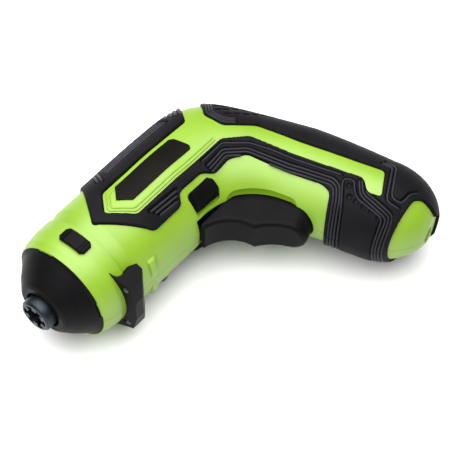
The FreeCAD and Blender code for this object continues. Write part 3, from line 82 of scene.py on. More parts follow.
def surfaceFinish(name, look):
    # two close colours in soft patches, and a fine grain that moves roughness and bump
    # (real grains finer than about 0.3 mm wouldn't show in the render, so they are drawn that coarse);
    # with a painted-shade colour, the piece's own per-point attribute of the same name mixes it in: painted
    # shade in grooves, dashes, round dimples and along edges;
    # with seam, a dark groove of that half width runs where two moulded halves meet at z = 0
    material = bpy.data.materials.new(name)
    material.use_nodes = True
    tree = material.node_tree
    shader = tree.nodes["Principled BSDF"]
    place = addNode(tree, "TexCoord", {}, {}).outputs["Object"]
    stretched = addNode(tree, "Mapping", {}, {"Vector": place, "Scale": look.get("stretch", (1, 1, 1))})
    patch = addNode(tree, "TexNoise", {}, {"Vector": place, "Scale": 1 / (look["patch"] * mm), "Detail": 3.0})
    grain = addNode(tree, "TexNoise", {}, {"Vector": stretched.outputs["Vector"],
                                           "Scale": 1 / (look["grain"] * mm), "Detail": 4.0}).outputs["Fac"]
    share = addNode(tree, "MapRange", {}, {"Value": patch.outputs["Fac"], **noiseRange}).outputs["Result"]
    colour = addNode(tree, "Mix", {"data_type": "RGBA"},
                     {"Factor": share, 6: linear(look["deep"]), 7: linear(look["pale"])}).outputs[2]
    height = grain
    # painted shade: a darker colour mixed in where the piece's per-point attribute marks grooves and hollows
    if "paintedShade" in look:
        paintedShadeShare = addNode(tree, "Attribute", {"attribute_name": "paintedShade"}, {}).outputs["Fac"]
        colour = addNode(tree, "Mix", {"data_type": "RGBA"},
                         {"Factor": paintedShadeShare, 6: colour, 7: linear(look["paintedShade"])}).outputs[2]
    if "seam" in look:
        edge = look["seam"] * mm
        bottom = edge * seamGroove["bottom"]
        depth = addNode(tree, "SeparateXYZ", {}, {"Vector": place}).outputs["Z"]
        away = addNode(tree, "Math", {"operation": "ABSOLUTE"}, {0: depth}).outputs["Value"]
        plain = addNode(tree, "MapRange", {"interpolation_type": "SMOOTHSTEP"},
                        {"Value": away, "From Min": bottom, "From Max": edge}).outputs["Result"]
        colour = addNode(tree, "Mix", {"data_type": "RGBA"},
                         {"Factor": plain, 6: linear(look["seamColour"]), 7: colour}).outputs[2]
        height = addNode(tree, "Math", {"operation": "MULTIPLY_ADD"},
                         {0: plain, 1: seamGroove["depth"], 2: height}).outputs["Value"]
    rough = addNode(tree, "MapRange", {}, {"Value": grain, **noiseRange,
                                           "To Min": look["rough"][0], "To Max": look["rough"][1]})
    bump = addNode(tree, "Bump", {}, {"Height": height, "Distance": look["relief"] * mm, "Strength": 1.0})
    tree.links.new(colour, shader.inputs["Base Color"])
    tree.links.new(rough.outputs["Result"], shader.inputs["Roughness"])
    tree.links.new(bump.outputs["Normal"], shader.inputs["Normal"])
    shader.inputs["Metallic"].default_value = look.get("metal", 0.0)
    if "metal" not in look:
        shader.inputs["IOR"].default_value = look["ior"]
    shader.inputs["Specular IOR Level"].default_value = look.get("specular", 0.5)
    shader.inputs["Transmission Weight"].default_value = look.get("clear", 0.0)
    return material


# lime ABS, moulded in a polished tool: clean even colour with a broad soft highlight
limeAbs = surfaceFinish("lime_abs_moulded", dict(
    deep="#698C0B", pale="#71950F", patch=24, grain=0.6, relief=0.006, rough=(0.40, 0.48), ior=1.53,
    specular=0.60, seam=0.26, seamColour="#4E7606"))
# soft black thermoplastic rubber, moulded with a spark-eroded grain: deep matt black, no sharp highlight,
# with a near-black painted shade in grooves, dashes, dimple rims and along its edges
blackRubber = surfaceFinish("black_rubber_moulded", dict(
    deep="#0E0E10", pale="#131316", patch=9, grain=0.35, relief=0.030, rough=(0.50, 0.62), ior=1.51,
    specular=0.05, paintedShade="#030304", seam=0.22, seamColour="#030304"))
# the same rubber on the raised lines: a paler colour painted on as the highlight the ridges catch, and a
# little shinier
ridgeRubberPaintedHighlight = surfaceFinish("black_rubber_ridges_painted_highlight", dict(
    deep="#1F1E24", pale="#26252B", patch=6, grain=0.5, relief=0.008, rough=(0.40, 0.48), ior=1.51,
    specular=0.10))
# black glass-filled nylon, moulded with a fine texture: slightly shinier than the rubber
blackNylon = surfaceFinish("black_nylon_moulded", dict(
    deep="#070708", pale="#0B0B0D", patch=7, grain=0.30, relief=0.018, rough=(0.40, 0.50), ior=1.53,
    specular=0.05))
# phosphated tool steel, turned: dark grey with fine rings round the spindle; also the housing screws
toolSteel = surfaceFinish("tool_steel_phosphated", dict(
    deep="#2A2F33", pale="#373D42", patch=4, grain=0.5, stretch=(3.0, 0.4, 0.4), relief=0.020,
    rough=(0.34, 0.50), metal=1.0))
# satin black label foil, one even coat: flat, faintly glossy
labelFoil = surfaceFinish("label_foil_satin", dict(
    deep="#090805", pale="#0C0B08", patch=5, grain=0.4, relief=0.004, rough=(0.34, 0.42), ior=1.5,
    specular=0.05))
# bright rolled steel: tabs, motor screws, shaft
brightSteel = surfaceFinish("bright_steel_rolled", dict(
    deep="#9A9EA2", pale="#B4B8BB", patch=3, grain=0.4, stretch=(1.0, 0.3, 0.3), relief=0.010,
    rough=(0.24, 0.38), metal=1.0))
# sintered ferrite magnet: dull charcoal with a fine granular break
ferrite = surfaceFinish("ferrite_sintered", dict(
    deep="#2A2B2E", pale="#3A3B3F", patch=2, grain=0.25, relief=0.030, rough=(0.55, 0.70), ior=1.9))
# sintered bronze bush: warm, slightly porous
bronze = surfaceFinish("bronze_sintered", dict(
    deep="#8A6A3C", pale="#A58350", patch=2, grain=0.25, relief=0.020, rough=(0.34, 0.48), metal=1.0))
# natural acetal gears and covers, moulded: milky, waxy surface
acetal = surfaceFinish("acetal_moulded", dict(
    deep="#D8D5C8", pale="#E6E4DA", patch=5, grain=0.4, relief=0.008, rough=(0.34, 0.44), ior=1.48))
# shrunk PVC sleeve of the cell: thin glossy film
cellSleeve = surfaceFinish("pvc_sleeve_shrunk", dict(
    deep="#2E6F8E", pale="#3A7F9E", patch=8, grain=0.8, relief=0.010, rough=(0.22, 0.32), ior=1.53))
# glass-epoxy board with solder mask: green film over a faint weave
boardMask = surfaceFinish("epoxy_board_masked", dict(
    deep="#1F5A34", pale="#28693E", patch=3, grain=0.5, relief=0.010, rough=(0.30, 0.42), ior=1.55))
# clear epoxy of the lamp's diodes, cast: unlit, so dark inside with a small glassy highlight
castEpoxy = surfaceFinish("epoxy_lens_cast", dict(
    deep="#1B1D20", pale="#25282B", patch=1.5, grain=0.6, relief=0.002, rough=(0.06, 0.12), ior=1.52,
    clear=0.3))

# the planet gears aren't listed: they are acetal
nodeFinish = dict(
    left_housing=limeAbs, right_housing=limeAbs, left_grip=blackRubber, right_grip=blackRubber,
    label_plate=labelFoil, housing_screws=toolSteel, nose_collar=blackNylon, bit_holder=toolSteel,
    bit_magnet=ferrite, spindle_bush=bronze, thrust_washer=brightSteel, retaining_clip=brightSteel,
    gear_case=acetal, gear_cover=acetal, output_carrier=brightSteel, first_carrier=brightSteel,
    motor_can=brightSteel, motor_end_cap=blackNylon, motor_terminals=bronze, motor_shaft=brightSteel,
    motor_armature=brightSteel, motor_magnets=ferrite, drive_pinion=brightSteel, motor_screws=brightSteel,
    battery_cell=cellSleeve, battery_tabs=brightSteel, control_board=boardMask, charge_socket=blackNylon,
    trigger=blackNylon, trigger_pin=brightSteel, trigger_switch=blackNylon, switch_plunger=acetal,
    direction_button=blackNylon, lock_slider=blackNylon, lock_ring=brightSteel, lamp_holder=blackNylon,
    lamp_leds=castEpoxy)
for nodeName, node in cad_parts.items():
    node.data.materials.clear()
    node.data.materials.append(nodeFinish.get(nodeName, acetal))
print("finishes set on", len(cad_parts), "solids")


# body surface: ovals that stand on lines from the finger side to the back, in the same sizes as the shells

form = dict(radius=22.0, front=28.5, bendStart=68.0, bendRadius=22.5, tilt=np.radians(16), depth=39.4,
            halfWidth=17.2, lean=np.radians(6), elbow=10.0, straight=33.0, dome=22.0, taper=3.0,
            taperPower=1.6, lastTurn=np.radians(72))
bendCentre = np.array([form["bendStart"], -form["radius"] - form["bendRadius"]])
across = np.array([np.cos(form["tilt"]), np.sin(form["tilt"])])
along = np.array([np.sin(form["tilt"]), -np.cos(form["tilt"])])


def onHandle(depth, run):
    # side-view point at a depth behind the finger side and a run along the handle
    depth, run = np.asarray(depth, float), np.asarray(run, float)
    return bendCentre + across * (form["bendRadius"] + depth)[..., None] + along * run[..., None]


def backDistance(angle):
    # top line and leaning back line joined by a rounded elbow: the two distances added as powers of minus ten
    reach = (form["bendRadius"] + form["depth"]) * np.cos(form["lean"])
    top = (2 * form["radius"] + form["bendRadius"]) / np.sin(angle)
    back = reach / np.cos(angle - form["tilt"] - form["lean"])
    return (top ** -form["elbow"] + back ** -form["elbow"]) ** (-1 / form["elbow"])


def bodySection(t, offset):
    # t runs 0-1 on the barrel, 1-2 round the bend, 2-3 down the handle, 3-4 over the butt;
    # gives the finger-side point, the back point and the half width of the oval there
    t, offset = np.broadcast_arrays(np.asarray(t, float), np.asarray(offset, float))
    x = form["front"] + (form["bendStart"] - form["front"]) * np.clip(t, 0, 1)
    angle = quarter + (form["tilt"] - quarter) * np.clip(t - 1, 0, 1)
    part = np.clip(t - 2, 0, 1)
    turn = form["lastTurn"] * np.clip(t - 3, 0, 1)
    ray = np.stack([np.cos(angle), np.sin(angle)], -1)
    reach = form["radius"] + offset
    deep = backDistance(form["tilt"]) - form["bendRadius"]
    half = (deep - form["taper"]) / 2
    handleRun = form["straight"] * part
    handleBack = deep - form["taper"] * part ** form["taperPower"] + offset
    domeRun = form["straight"] + (form["dome"] + offset) * np.sin(turn)
    domeReach = (half + offset) * np.cos(turn)
    fingers = [np.stack([x, -reach], -1), bendCentre + ray * (form["bendRadius"] - offset)[..., None],
               onHandle(-offset, handleRun), onHandle(half - domeReach, domeRun)]
    backs = [np.stack([x, reach], -1), bendCentre + ray * (backDistance(angle) + offset)[..., None],
             onHandle(handleBack, handleRun), onHandle(half + domeReach, domeRun)]
    narrow = form["halfWidth"]
    share = (angle - form["tilt"]) / (quarter - form["tilt"])
    bendWidth = narrow + (form["radius"] - narrow) * share + offset
    widths = [reach, bendWidth, narrow + offset, (narrow + offset) * np.cos(turn)]
    zone = [t < 1, t < 2, t < 3, t >= 3]
    spread = [z[..., None] & np.ones(2, bool) for z in zone]
    return np.select(spread, fingers), np.select(spread, backs), np.select(zone, widths)


def bodyPoint(t, theta, offset):
    # oval point: middle + half depth times cos theta, and half width times sin theta along z
    finger, back, width = bodySection(t, offset)
    flat = (finger + back) / 2 + (back - finger) / 2 * np.cos(theta)[..., None]
    return np.concatenate([flat, (width * np.sin(theta))[..., None]], -1)


def bodyNormal(t, theta, offset):
    # cross product of two small steps, round the surface and along it
    step = 1e-3
    run = bodyPoint(t + step, theta, offset) - bodyPoint(t - step, theta, offset)
    turn = bodyPoint(t, theta + step, offset) - bodyPoint(t, theta - step, offset)
    normal = np.cross(turn, run)
    return normal / np.linalg.norm(normal, axis=-1, keepdims=True)


def fromSide(flat):
    # section number and turn of the surface point seen at x, y from the side
    rel = flat - bendCentre
    angle = np.arctan2(rel[..., 1], rel[..., 0])
    run = rel @ along
    barrel = (flat[..., 0] - form["front"]) / (form["bendStart"] - form["front"])
    bend = 1 + (quarter - angle) / (quarter - form["tilt"])
    butt = 3 + np.arcsin(np.clip((run - form["straight"]) / form["dome"], 0, 1)) / form["lastTurn"]
    t = np.select([flat[..., 0] < form["bendStart"], angle > form["tilt"], run < form["straight"]],
                  [barrel, bend, 2 + run / form["straight"]], butt)
    finger, back, _ = bodySection(t, 0.0)
    half = (back - finger) / 2
    share = ((flat - (finger + back) / 2) * half).sum(-1) / (half * half).sum(-1)
    return t, np.arccos(np.clip(share, -1, 1))


# lines and outlines in the side view

def roundedCorners(points, radius, closed):
    # each corner becomes a short parabola between points one radius away along its two sides
    points = np.asarray(points, float)
    before, after = np.roll(points, 1, 0) - points, np.roll(points, -1, 0) - points
    lengths = np.linalg.norm(before, axis=1, keepdims=True), np.linalg.norm(after, axis=1, keepdims=True)
    most = 0.45  # of a side's length, so that two corners never meet
    first = points + before / lengths[0] * np.minimum(radius, most * lengths[0])
    last = points + after / lengths[1] * np.minimum(radius, most * lengths[1])
    u = np.linspace(0, 1, 7)[None, :, None]  # seven points on each corner
    curve = (1 - u) ** 2 * first[:, None] + 2 * u * (1 - u) * points[:, None] + u ** 2 * last[:, None]
    if closed:
        return curve.reshape(-1, 2)
    return np.concatenate([points[:1], curve[1:-1].reshape(-1, 2), points[-1:]])


def sideShift(points, distance):
    # parallel line at a distance to the left, its corners mitred
    points = np.asarray(points, float)
    step = np.diff(points, axis=0)
    normal = np.stack([-step[:, 1], step[:, 0]], 1) / np.linalg.norm(step, axis=1, keepdims=True)
    before, after = np.concatenate([normal[:1], normal]), np.concatenate([normal, normal[-1:]])
    return points + distance * (before + after) / (1 + (before * after).sum(1, keepdims=True))


def runLength(points):
    # distance along the line to each of its points: the steps' lengths added up
    return np.concatenate([[0], np.cumsum(np.linalg.norm(np.diff(points, axis=0), axis=1))])


def placesAlong(points, runs):
    # x, y at each run along a side-view line, straight between its points
    length = runLength(points)
    return np.stack([np.interp(runs, length, points[:, k]) for k in (0, 1)], 1)


def lineDistance(flat, points, closed):
    # least distance from each place to any stretch of the line
    start = points if closed else points[:-1]
    step = (np.roll(points, -1, 0) if closed else points[1:]) - start
    rel = flat[:, None, :] - start[None]
    share = np.clip((rel * step).sum(-1) / np.maximum((step * step).sum(-1), 1e-12), 0, 1)
    return np.linalg.norm(rel - share[..., None] * step, axis=-1).min(1)


def insideDistance(flat, outline):
    # distance to a closed outline, positive inside it, where a ray along x crosses it an odd number of times
    start, end = outline, np.roll(outline, -1, 0)
    x, y = flat[:, :1], flat[:, 1:]
    crosses = (start[:, 1] > y) != (end[:, 1] > y)
    slope = (end[:, 0] - start[:, 0]) / np.where(end[:, 1] == start[:, 1], 1e-9, end[:, 1] - start[:, 1])
    odd = (crosses & (x < start[:, 0] + slope * (y - start[:, 1]))).sum(1) % 2
    return np.where(odd == 1, 1, -1) * lineDistance(flat, outline, True)


def smooth(value):
    # three times the square less twice the cube, held at 0 below 0 and at 1 above 1
    value = np.clip(value, 0, 1)
    return value * value * (3 - 2 * value)


# mesh making

def addPiece(name, points, faces, material, body, stands=(), slotName=None, sharp=40, paintedShade=None):
    # mesh of points in millimetres, smooth except at edges sharper than an angle in degrees;
    # it rides on a body, and stands in place of the solids that are named
    mesh = bpy.data.meshes.new(name)
    mesh.from_pydata((np.asarray(points) * mm).tolist(), [], [list(face) for face in faces])
    mesh.polygons.foreach_set("use_smooth", np.ones(len(mesh.polygons), bool))
    mesh.set_sharp_from_angle(angle=np.radians(sharp))
    mesh.materials.append(material)
    if paintedShade is not None:  # painted shade: 0 on the plain skin, 1 at the bottom of a groove
        mesh.attributes.new("paintedShade", "FLOAT", "POINT").data.foreach_set("value", paintedShade.astype(np.float32))
    piece = bpy.data.objects.new(name, mesh)
    bpy.context.scene.collection.objects.link(piece)
    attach(piece, body)
    if stands:
        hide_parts(*stands)
    print(name, len(mesh.vertices), "vertices")


def gridFaces(rows, columns):
    # one four-sided face for each cell of a grid whose points are numbered row by row
    index = np.arange(rows * columns).reshape(rows, columns)
    return np.stack([index[:-1, :-1], index[:-1, 1:], index[1:, 1:], index[1:, :-1]], -1).reshape(-1, 4)


def closedSkin(faces, top, under):
    # top faces, the same faces turned over on the under points, and walls round the free rim,
    # which is the sides that belong to one face only
    count = len(top)
    sides = np.stack([faces, np.roll(faces, -1, 1)], -1).reshape(-1, 2)
    key = np.sort(sides, 1) @ np.array([count, 1])
    first, times = np.unique(key, return_index=True, return_counts=True)[1:]
    rim = sides[first[times == 1]]
    walls = np.stack([rim[:, 1], rim[:, 0], rim[:, 0] + count, rim[:, 1] + count], 1)
    return np.concatenate([top, under]), np.concatenate([faces, faces[:, ::-1] + count, walls])


def sweepLines(lines, profile, offset, step):
    # each side-view line is laid on the body at an offset, and the profile (across in line widths,
    # up in millimetres) is carried along it in even steps; the ends taper to close
    fineStep, tip = 0.04, 0.35  # millimetres of line, and share of the profile left at an end
    allPoints, allFaces, count = [], [], 0
    size = len(profile)
    for line, lineWidth in lines:
        length = runLength(line)[-1]
        t, theta = fromSide(placesAlong(line, np.linspace(0, length, int(length / fineStep) + 2)))
        run = runLength(bodyPoint(t, theta, offset))
        even = np.linspace(0, run[-1], max(int(run[-1] / step), 3) + 1)
        t, theta = np.interp(even, run, t), np.interp(even, run, theta)
        place, normal = bodyPoint(t, theta, offset), bodyNormal(t, theta, offset)
        tangent = np.gradient(place, axis=0)
        tangent /= np.linalg.norm(tangent, axis=1, keepdims=True)
        wide = np.cross(normal, tangent) * lineWidth
        taper = np.minimum(1, tip + np.minimum(even, run[-1] - even) / (2 * step))[:, None, None]
        shape = wide[:, None] * profile[None, :, :1] + normal[:, None] * profile[None, :, 1:]
        rings = place[:, None] + taper * shape
        rows = len(even)
        index = count + np.arange(rows * size).reshape(rows, size)
        turned = np.roll(index, -1, 1)
        quads = np.stack([index[:-1], turned[:-1], turned[1:], index[1:]], -1).reshape(-1, 4)
        allFaces += quads.tolist() + [index[0][::-1].tolist(), index[-1].tolist()]
        allPoints.append(rings.reshape(-1, 3))
        count += rows * size
    return np.concatenate(allPoints), allFaces


def mirrored(points, faces):
    # the other half: z changes sign and each face turns round
    return points * np.array([1, 1, -1]), [list(face)[::-1] for face in faces]


# rubber grips: the outline on the side, less the panel and stripe that it frames

gripShape = dict(thickness=1.2, edge=0.8, under=0.45, corner=1.6, middle=0.8, wellRadius=2.9, start=0.03,
                 rows=(108, 176, 94, 72), columns=176, snapInside=0.24, snapOutside=0.30, snapRounds=3)
strapEnd = onHandle(44.2, -16.2)  # where the back strap leaves the handle
outerEdge = np.concatenate([
    [(50.6, 25.6), (31.9, -0.3), (47.4, -16.3), (62.1, -16.3), (64.7, -13.0), (76.6, -13.0), (80.8, -16.3),
     (88.2, -16.3)],
    onHandle([9.3, 9.3, 7.7, -4.8, -4.8, 17.0, 19.5, 19.5, 44.2],
             [-16.2, 13.3, 17.0, 19.2, 42.0, 46.7, 49.3, 60.0, 60.0]),
    [strapEnd, (strapEnd[0], 25.6)]])
# the panel and the stripe that runs on from it
panelEdge = np.concatenate([
    [(90.8, 7.0), (45.1, 7.0), (38.5, -0.4), (46.7, -8.65), (92.5, -8.65)],
    onHandle([16.9, 16.9, 12.1, 12.1, 23.5, 23.5], [-18.6, 26.7, 29.9, 35.3, 32.4, -18.6]),
    [(98.0, -4.9), (98.0, 4.1), (117.2, 25.6), (106.7, 25.6)]])
# places of the screw wells, which are in the right half
screwWells = np.array([(47.0, 17.4), (84.0, 17.4), (47.0, -18.0), (107.5, 5.0), (128.2, -52.73),
                       (103.0, -65.68)])

# moulded line groups: middle line in the side view, how many lines, and their pitch
lineGroups = [
    (np.concatenate([[(80.3, -13.4), (88.9, -13.3)],
                     onHandle([10.4, 10.9, 11.5, 11.6, 10.2, 6.8, -1.0],
                              [-16.8, -9.0, 4.0, 16.6, 18.9, 20.3, 21.8])]), 3, 1.15),
    (onHandle([15.6, 11.5, 10.5, 8.7, 7.3, 5.2, 1.8, -1.0],
              [26.5, 28.5, 30.0, 35.2, 40.3, 40.5, 39.9, 39.2]), 3, 1.05),
    (onHandle([26.5, 25.6, 17.9, 12.2, 11.2, 10.9], [30.0, 34.4, 36.1, 37.3, 38.4, 43.0]), 1, 1.2),
    (onHandle([28.0, 27.0, 19.6, 14.2, 13.1, 12.8, 14.5, 18.2, 20.4],
              [31.0, 35.4, 37.2, 38.4, 39.3, 42.2, 43.1, 44.2, 46.4]), 1, 1.2),
    (np.array([(50.6, -10.8), (64.4, -11.5)]), 1, 1.3),
    (np.array([(51.6, -12.1), (63.2, -12.7)]), 1, 1.3),
    (np.array([(52.6, -13.4), (62.0, -13.9)]), 1, 1.3),
    (np.array([(54.0, 15.2), (87.0, 15.2)]), 5, 1.2),
    (np.array([(91.0, 12.6), (100.0, 23.0)]), 4, 1.8),
    (np.array([(49.2, 11.4), (54.5, 19.5)]), 2, 1.5),
    (np.array([(110.0, 14.0), (104.3, 7.2), (99.7, 2.6), (99.9, -4.0), (103.0, -7.6)]), 3, 1.05),
    (np.concatenate([[(80.0, -10.0), (91.2, -10.4), (98.0, -17.8)],
                     onHandle([14.7, 14.9], [-9.0, 19.0])]), 1, 1.1),
    (onHandle([-1.0, 4.3, 9.5, 13.2, 14.3, 14.2, 12.9, 10.6, 8.9, 7.2, 6.0, 2.8, -1.0],
              [24.4, 23.2, 21.3, 20.0, 21.2, 24.2, 24.6, 25.8, 27.6, 33.6, 38.2, 38.0, 37.3]), 1, 1.0),
]
gripLine = dict(lift=0.55, foot=0.25, share=0.6, inset=0.5, corner=1.2, bed=0.3, bedSlope=0.45, shortest=1.5,
                search=0.1, step=0.5)
dimple = dict(radius=1.05, depth=0.6, edge=1.1, slope=0.4, rim=0.95, rimWidth=0.3)  # the last four in radii
dimples = np.array([(107.3, -57.0), (104.3, -59.6), (104.35, -62.7), (104.6, -66.0), (104.9, -69.2),
                    (105.1, -72.4)])
dash = dict(length=1.5, width=0.42, depth=0.6, edge=1.8, across=0.55, along=0.83)  # the edge in widths
dashMiddles = onHandle([27.8, 28.7, 24.9, 26.4, 28.6, 30.6, 32.6, 23.7, 25.7, 27.4, 29.3, 31.4, 33.5],
                       [-36.8, -34.0, -34.7, -32.3, -29.4, -26.5, -23.6, -30.5, -27.5, -24.5, -21.6, -18.9,
                        -16.0])
dashWay = across * dash["across"] + along * dash["along"]
# shade and shadeWidth: how dark and how wide a painted shade runs along the rubber's edge
gripRim = dict(shade=0.8, shadeWidth=0.6, drop=0.06, deepestCut=0.8)  # deepestCut is a share of the height


def gripDistance(flat, wells):
    # how far a place is inside the rubber: the least distance to the outline, the panel and the wells
    far = np.minimum(insideDistance(flat, roundedCorners(outerEdge, gripShape["corner"], True)),
                     -insideDistance(flat, roundedCorners(panelEdge, gripShape["corner"], True)))
    for well in wells:
        far = np.minimum(far, np.linalg.norm(flat - well, axis=1) - gripShape["wellRadius"])
    return far


def gripPlace(t, theta):
    # x, y of a place part way up the rubber, where the outline is measured
    return bodyPoint(t, theta, gripShape["middle"])[:, :2]


def gripGrid(wells):
    # even grid over the half body; places close to the outline are moved onto it,
    # by the distance over its slope, a few times
    spans = [(gripShape["start"], 1.0), (1.0, 2.0), (2.0, 3.0), (3.0, 4.0)]
    t = [np.linspace(a, b, n, endpoint=False) for (a, b), n in zip(spans, gripShape["rows"])]
    theta = np.linspace(0, np.pi, gripShape["columns"])
    t, theta = [grid.ravel() for grid in np.meshgrid(np.concatenate(t + [[4.0]]), theta, indexing="ij")]
    far = gripDistance(gripPlace(t, theta), wells)
    near = (np.abs(far) < gripShape["snapInside"]) | ((far < 0) & (far > -gripShape["snapOutside"]))
    small, leastSlope = 1e-3, 0.15
    scaleT, scaleSide = 45.0, 20.0  # millimetres per unit along and round, so both move alike
    for _ in range(gripShape["snapRounds"]):
        here, side = t[near], theta[near]
        base = gripDistance(gripPlace(here, side), wells)
        slopeT = (gripDistance(gripPlace(here + small, side), wells) - base) / small
        slopeSide = (gripDistance(gripPlace(here, side + small), wells) - base) / small
        pull = base / np.maximum((slopeT / scaleT) ** 2 + (slopeSide / scaleSide) ** 2, leastSlope)
        t[near] = np.clip(here - pull * slopeT / scaleT ** 2, 0.0, 4.0)
        seam = (side < 1e-6) | (side > np.pi - 1e-6)
        theta[near] = np.where(seam, side, np.clip(side - pull * slopeSide / scaleSide ** 2, 0, np.pi))
    far[near] = 0.0
    return t, theta, far


def groupLines():
    # the lines of every group, side by side at the group's pitch
    return [(roundedCorners(sideShift(middle, (number - (count - 1) / 2) * pitch), gripLine["corner"], False),
             pitch) for middle, count, pitch in lineGroups for number in range(count)]


def gripRelief(flat, far):
    # height of the outer skin: a round edge, lowered to a bed beside the raised lines,
    # with dimples and dashes cut in; also how much painted shade each place takes, from 0 to 1
    rise = np.clip(far / gripShape["edge"], 0, 1)
    height = gripShape["thickness"] * np.sqrt(1 - (1 - rise) ** 2)
    cutDepth = np.zeros(len(flat))
    for line, pitch in groupLines():
        away = lineDistance(flat, line, False)
        bed = smooth((pitch / 2 + gripLine["bed"] - away) / gripLine["bedSlope"])
        cutDepth = np.maximum(cutDepth, gripLine["lift"] * bed)
    # painted shade in the beds beside the raised lines, as deep as the bed
    paintedShade = np.clip(cutDepth / gripLine["lift"], 0, 1)
    for spot in dimples:
        away = np.linalg.norm(flat - spot, axis=1) / dimple["radius"]
        cutDepth = np.maximum(cutDepth, dimple["depth"] * smooth((dimple["edge"] - away) / dimple["slope"]))
        # a ring of painted shade round each dimple's rim
        paintedShade = np.maximum(paintedShade, 1 - np.clip(np.abs(away - dimple["rim"]) / dimple["rimWidth"], 0, 1))
    for spot in dashMiddles:
        ends = spot + np.outer((-0.5, 0.5), dashWay) * dash["length"]
        away = lineDistance(flat, ends, False)
        cut = smooth(dash["edge"] - away / dash["width"])
        # painted shade filling each dash
        cutDepth, paintedShade = np.maximum(cutDepth, dash["depth"] * cut), np.maximum(paintedShade, cut)
    # painted shade along the rubber's edge, where it meets the green
    paintedShade = np.maximum(paintedShade, gripRim["shade"] * (1 - np.clip(far / gripRim["shadeWidth"], 0, 1)))
    cutDepth = np.minimum(cutDepth, gripRim["deepestCut"] * height)
    return height - cutDepth - gripRim["drop"] * (far <= 0), paintedShade


def gripSkin(wells):
    # outer skin and an under skin below the green, joined round the rim; both lie on z = 0 at the seam
    t, theta, far = gripGrid(wells)
    height, paintedShade = gripRelief(gripPlace(t, theta), far)
    faces = gridFaces(sum(gripShape["rows"]) + 1, gripShape["columns"])
    faces = faces[(far[faces] >= 0).all(1)]
    used = np.unique(faces)
    renumber = np.full(len(t), -1)
    renumber[used] = np.arange(len(used))
    faces = renumber[faces]
    top = bodyPoint(t[used], theta[used], height[used])
    under = bodyPoint(t[used], theta[used], np.full(len(used), -gripShape["under"]))
    seam = np.isin(theta[used], (0.0, np.pi))
    top[seam, 2] = 0.0
    under[seam, 2] = 0.0
    return *closedSkin(faces, top, under), np.tile(paintedShade[used], 2)


def gripLines(wells):
    # the raised lines, each cut to the stretches that lie inside the rubber, with a rounded profile
    kept = []
    for line, pitch in groupLines():
        flat = placesAlong(line, np.arange(0, runLength(line)[-1], gripLine["search"]))
        inside = gripDistance(flat, wells) > gripLine["inset"]
        change = np.diff(np.concatenate([[0], inside, [0]]))
        for start, end in zip(np.flatnonzero(change == 1), np.flatnonzero(change == -1)):
            if end - start > round(gripLine["shortest"] / gripLine["search"]):
                kept.append((flat[start:end], pitch * gripLine["share"]))
    lift, foot = gripLine["lift"], gripLine["foot"]
    profile = np.array([(0.5, -foot), (0.5, lift * 0.7), (0.36, lift * 0.96), (0, lift), (-0.36, lift * 0.96),
                        (-0.5, lift * 0.7), (-0.5, -foot)])
    return sweepLines(kept, profile, gripShape["thickness"] - lift, gripLine["step"])


# each skin carries its painted shade as a per-point attribute
leftPoints, leftFaces, leftPaintedShade = gripSkin([])
addPiece("left_grip_skin", leftPoints, leftFaces, blackRubber, "housing", stands=["left_grip"],
         slotName="black_rubber", sharp=50, paintedShade=leftPaintedShade)
rightPoints, rightFaces, rightPaintedShade = gripSkin(screwWells)
addPiece("right_grip_skin", *mirrored(rightPoints, rightFaces), blackRubber, "housing", stands=["right_grip"],
         slotName="black_rubber", sharp=50, paintedShade=rightPaintedShade)
# the raised lines take the paler rubber, a painted highlight
addPiece("left_grip_lines", *gripLines([]), ridgeRubberPaintedHighlight, "housing", slotName="black_rubber", sharp=60)
addPiece("right_grip_lines", *mirrored(*gripLines(screwWells)), ridgeRubberPaintedHighlight, "housing",
         slotName="black_rubber", sharp=60)
print("grips made")


# raised contour steps inside the green side panel, along its point and lower edge

panelSteps = dict(insets=(1.2, 2.4), corner=1.2, width=0.6, height=0.34, step=0.6)
panelLine = np.array([(91.0, -8.65), (46.7, -8.65), (38.5, -0.4), (45.1, 7.0), (52.0, 7.0)])
stepProfile = np.array([(0.5, -0.2), (0.5, 0.55), (0.2, 0.95), (-0.2, 0.95), (-0.5, 0.55), (-0.5, -0.2)])
stepLines = [(roundedCorners(sideShift(panelLine, -inset), panelSteps["corner"], False), panelSteps["width"])
             for inset in panelSteps["insets"]]
steps = sweepLines(stepLines, stepProfile * np.array([1, panelSteps["height"]]), 0.0, panelSteps["step"])
addPiece("left_panel_steps", *steps, limeAbs, "housing", slotName="green_shell", sharp=60)
addPiece("right_panel_steps", *mirrored(*steps), limeAbs, "housing", slotName="green_shell", sharp=60)
print("panel steps made")


# small moulded lug on the finger side of the barrel, behind the lamp

lug = dict(front=38.0, rear=43.4, high=10.4, low=0.4, height=0.95, lean=0.13, frontLean=0.35, frontSlope=0.9,
           rearSlope=2.2, highSlope=1.6, lowSlope=6.0, sink=0.05, under=0.4, rows=48, columns=60)


def lugSkin():
    # height over the barrel: a quick rise from the front edge and the upper end,
    # and a slow fall to the rear and to the seam
    x, z = np.meshgrid(np.linspace(lug["front"], lug["rear"], lug["rows"]),
                       np.linspace(lug["high"], lug["low"], lug["columns"]), indexing="ij")
    x, z = x.ravel(), z.ravel()
    lean = lug["lean"] * (lug["high"] - z)  # the lower end lies further forward
    rise = smooth((x - lug["front"] + lug["frontLean"] * lean) / lug["frontSlope"])
    fall = smooth((lug["rear"] - lean - x) / lug["rearSlope"])
    ends = smooth((lug["high"] - z) / lug["highSlope"]) * smooth((z - lug["low"]) / lug["lowSlope"])
    t = (x - form["front"]) / (form["bendStart"] - form["front"])
    theta = np.pi - np.arcsin(z / form["radius"])
    top = bodyPoint(t, theta, lug["height"] * (rise * fall) * ends - lug["sink"])
    under = bodyPoint(t, theta, np.full(len(x), -lug["under"]))
    return closedSkin(gridFaces(lug["rows"], lug["columns"]), top, under)


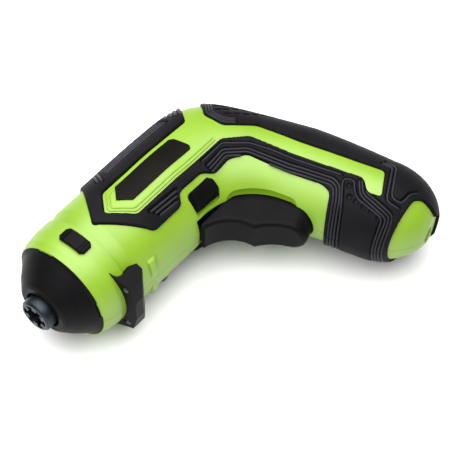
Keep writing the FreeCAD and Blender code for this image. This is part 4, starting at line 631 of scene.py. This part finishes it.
lugPoints, lugFaces = lugSkin()
addPiece("left_lug", lugPoints, lugFaces, limeAbs, "housing", slotName="green_shell", sharp=60)
addPiece("right_lug", *mirrored(lugPoints, lugFaces), limeAbs, "housing", slotName="green_shell", sharp=60)
print("lugs made")


# floor, light and camera

stageLook = dict(floor=6000, world=0.26, middle=(63.5, -35.0, 0.0))
# pale card, matt: an even ground that takes a soft shadow
floorCard = surfaceFinish("floor_card_matt", dict(
    deep="#E0E0DF", pale="#E6E6E5", patch=300, grain=2.0, relief=0.01, rough=(0.6, 0.7), ior=1.4,
    specular=0.1))
corners = np.array([(-1, -1), (1, -1), (1, 1), (-1, 1)]) * stageLook["floor"] / 2 * mm
floorMesh = bpy.data.meshes.new("floor")
floorMesh.from_pydata([(x, y, cadBox[0][2]) for x, y in corners.tolist()], [], [(0, 1, 2, 3)])
floorMesh.materials.append(floorCard)
floor = bpy.data.objects.new("floor", floorMesh)
bpy.context.scene.collection.objects.link(floor)

world = bpy.data.worlds.new("studio")
bpy.context.scene.world = world
world.use_nodes = True
world.node_tree.nodes["Background"].inputs["Color"].default_value = linear("#FFFFFF")
world.node_tree.nodes["Background"].inputs["Strength"].default_value = stageLook["world"]

lamps = dict(
    top=dict(place=(35, 0, 560), power=13.2, width=1000),
    back=dict(place=(300, 520, 350), power=0.5, width=420),
    front=dict(place=(-480, -60, 300), power=0.9, width=420))
for name, look in lamps.items():
    lamp = bpy.data.lights.new(name, "AREA")
    lamp.shape = "DISK"
    lamp.size = look["width"] * mm
    lamp.energy = look["power"]
    holder = bpy.data.objects.new(name, lamp)
    holder.location = Vector(look["place"]) * mm
    aim = Vector(stageLook["middle"]) * mm - holder.location
    holder.rotation_euler = aim.to_track_quat("-Z", "Y").to_euler()
    bpy.context.scene.collection.objects.link(holder)

shot = dict(eye=(-208.7, -261.8, 503.6), aim=(63.5, -35.0, 19.4), lens=135.36, sensor=36.0,
            near=10, far=20000)
lens = bpy.data.cameras.new("camera")
lens.lens = shot["lens"]
lens.sensor_width = shot["sensor"]
lens.sensor_fit = "HORIZONTAL"
lens.clip_start = shot["near"] * mm
lens.clip_end = shot["far"] * mm
camera = bpy.data.objects.new("camera", lens)
camera.location = Vector(shot["eye"]) * mm
camera.rotation_euler = (Vector(shot["aim"]) * mm - camera.location).to_track_quat("-Z", "Y").to_euler()
bpy.context.scene.collection.objects.link(camera)
bpy.context.scene.camera = camera
bpy.context.scene.view_settings.view_transform = "Standard"
print("floor, light and camera set")
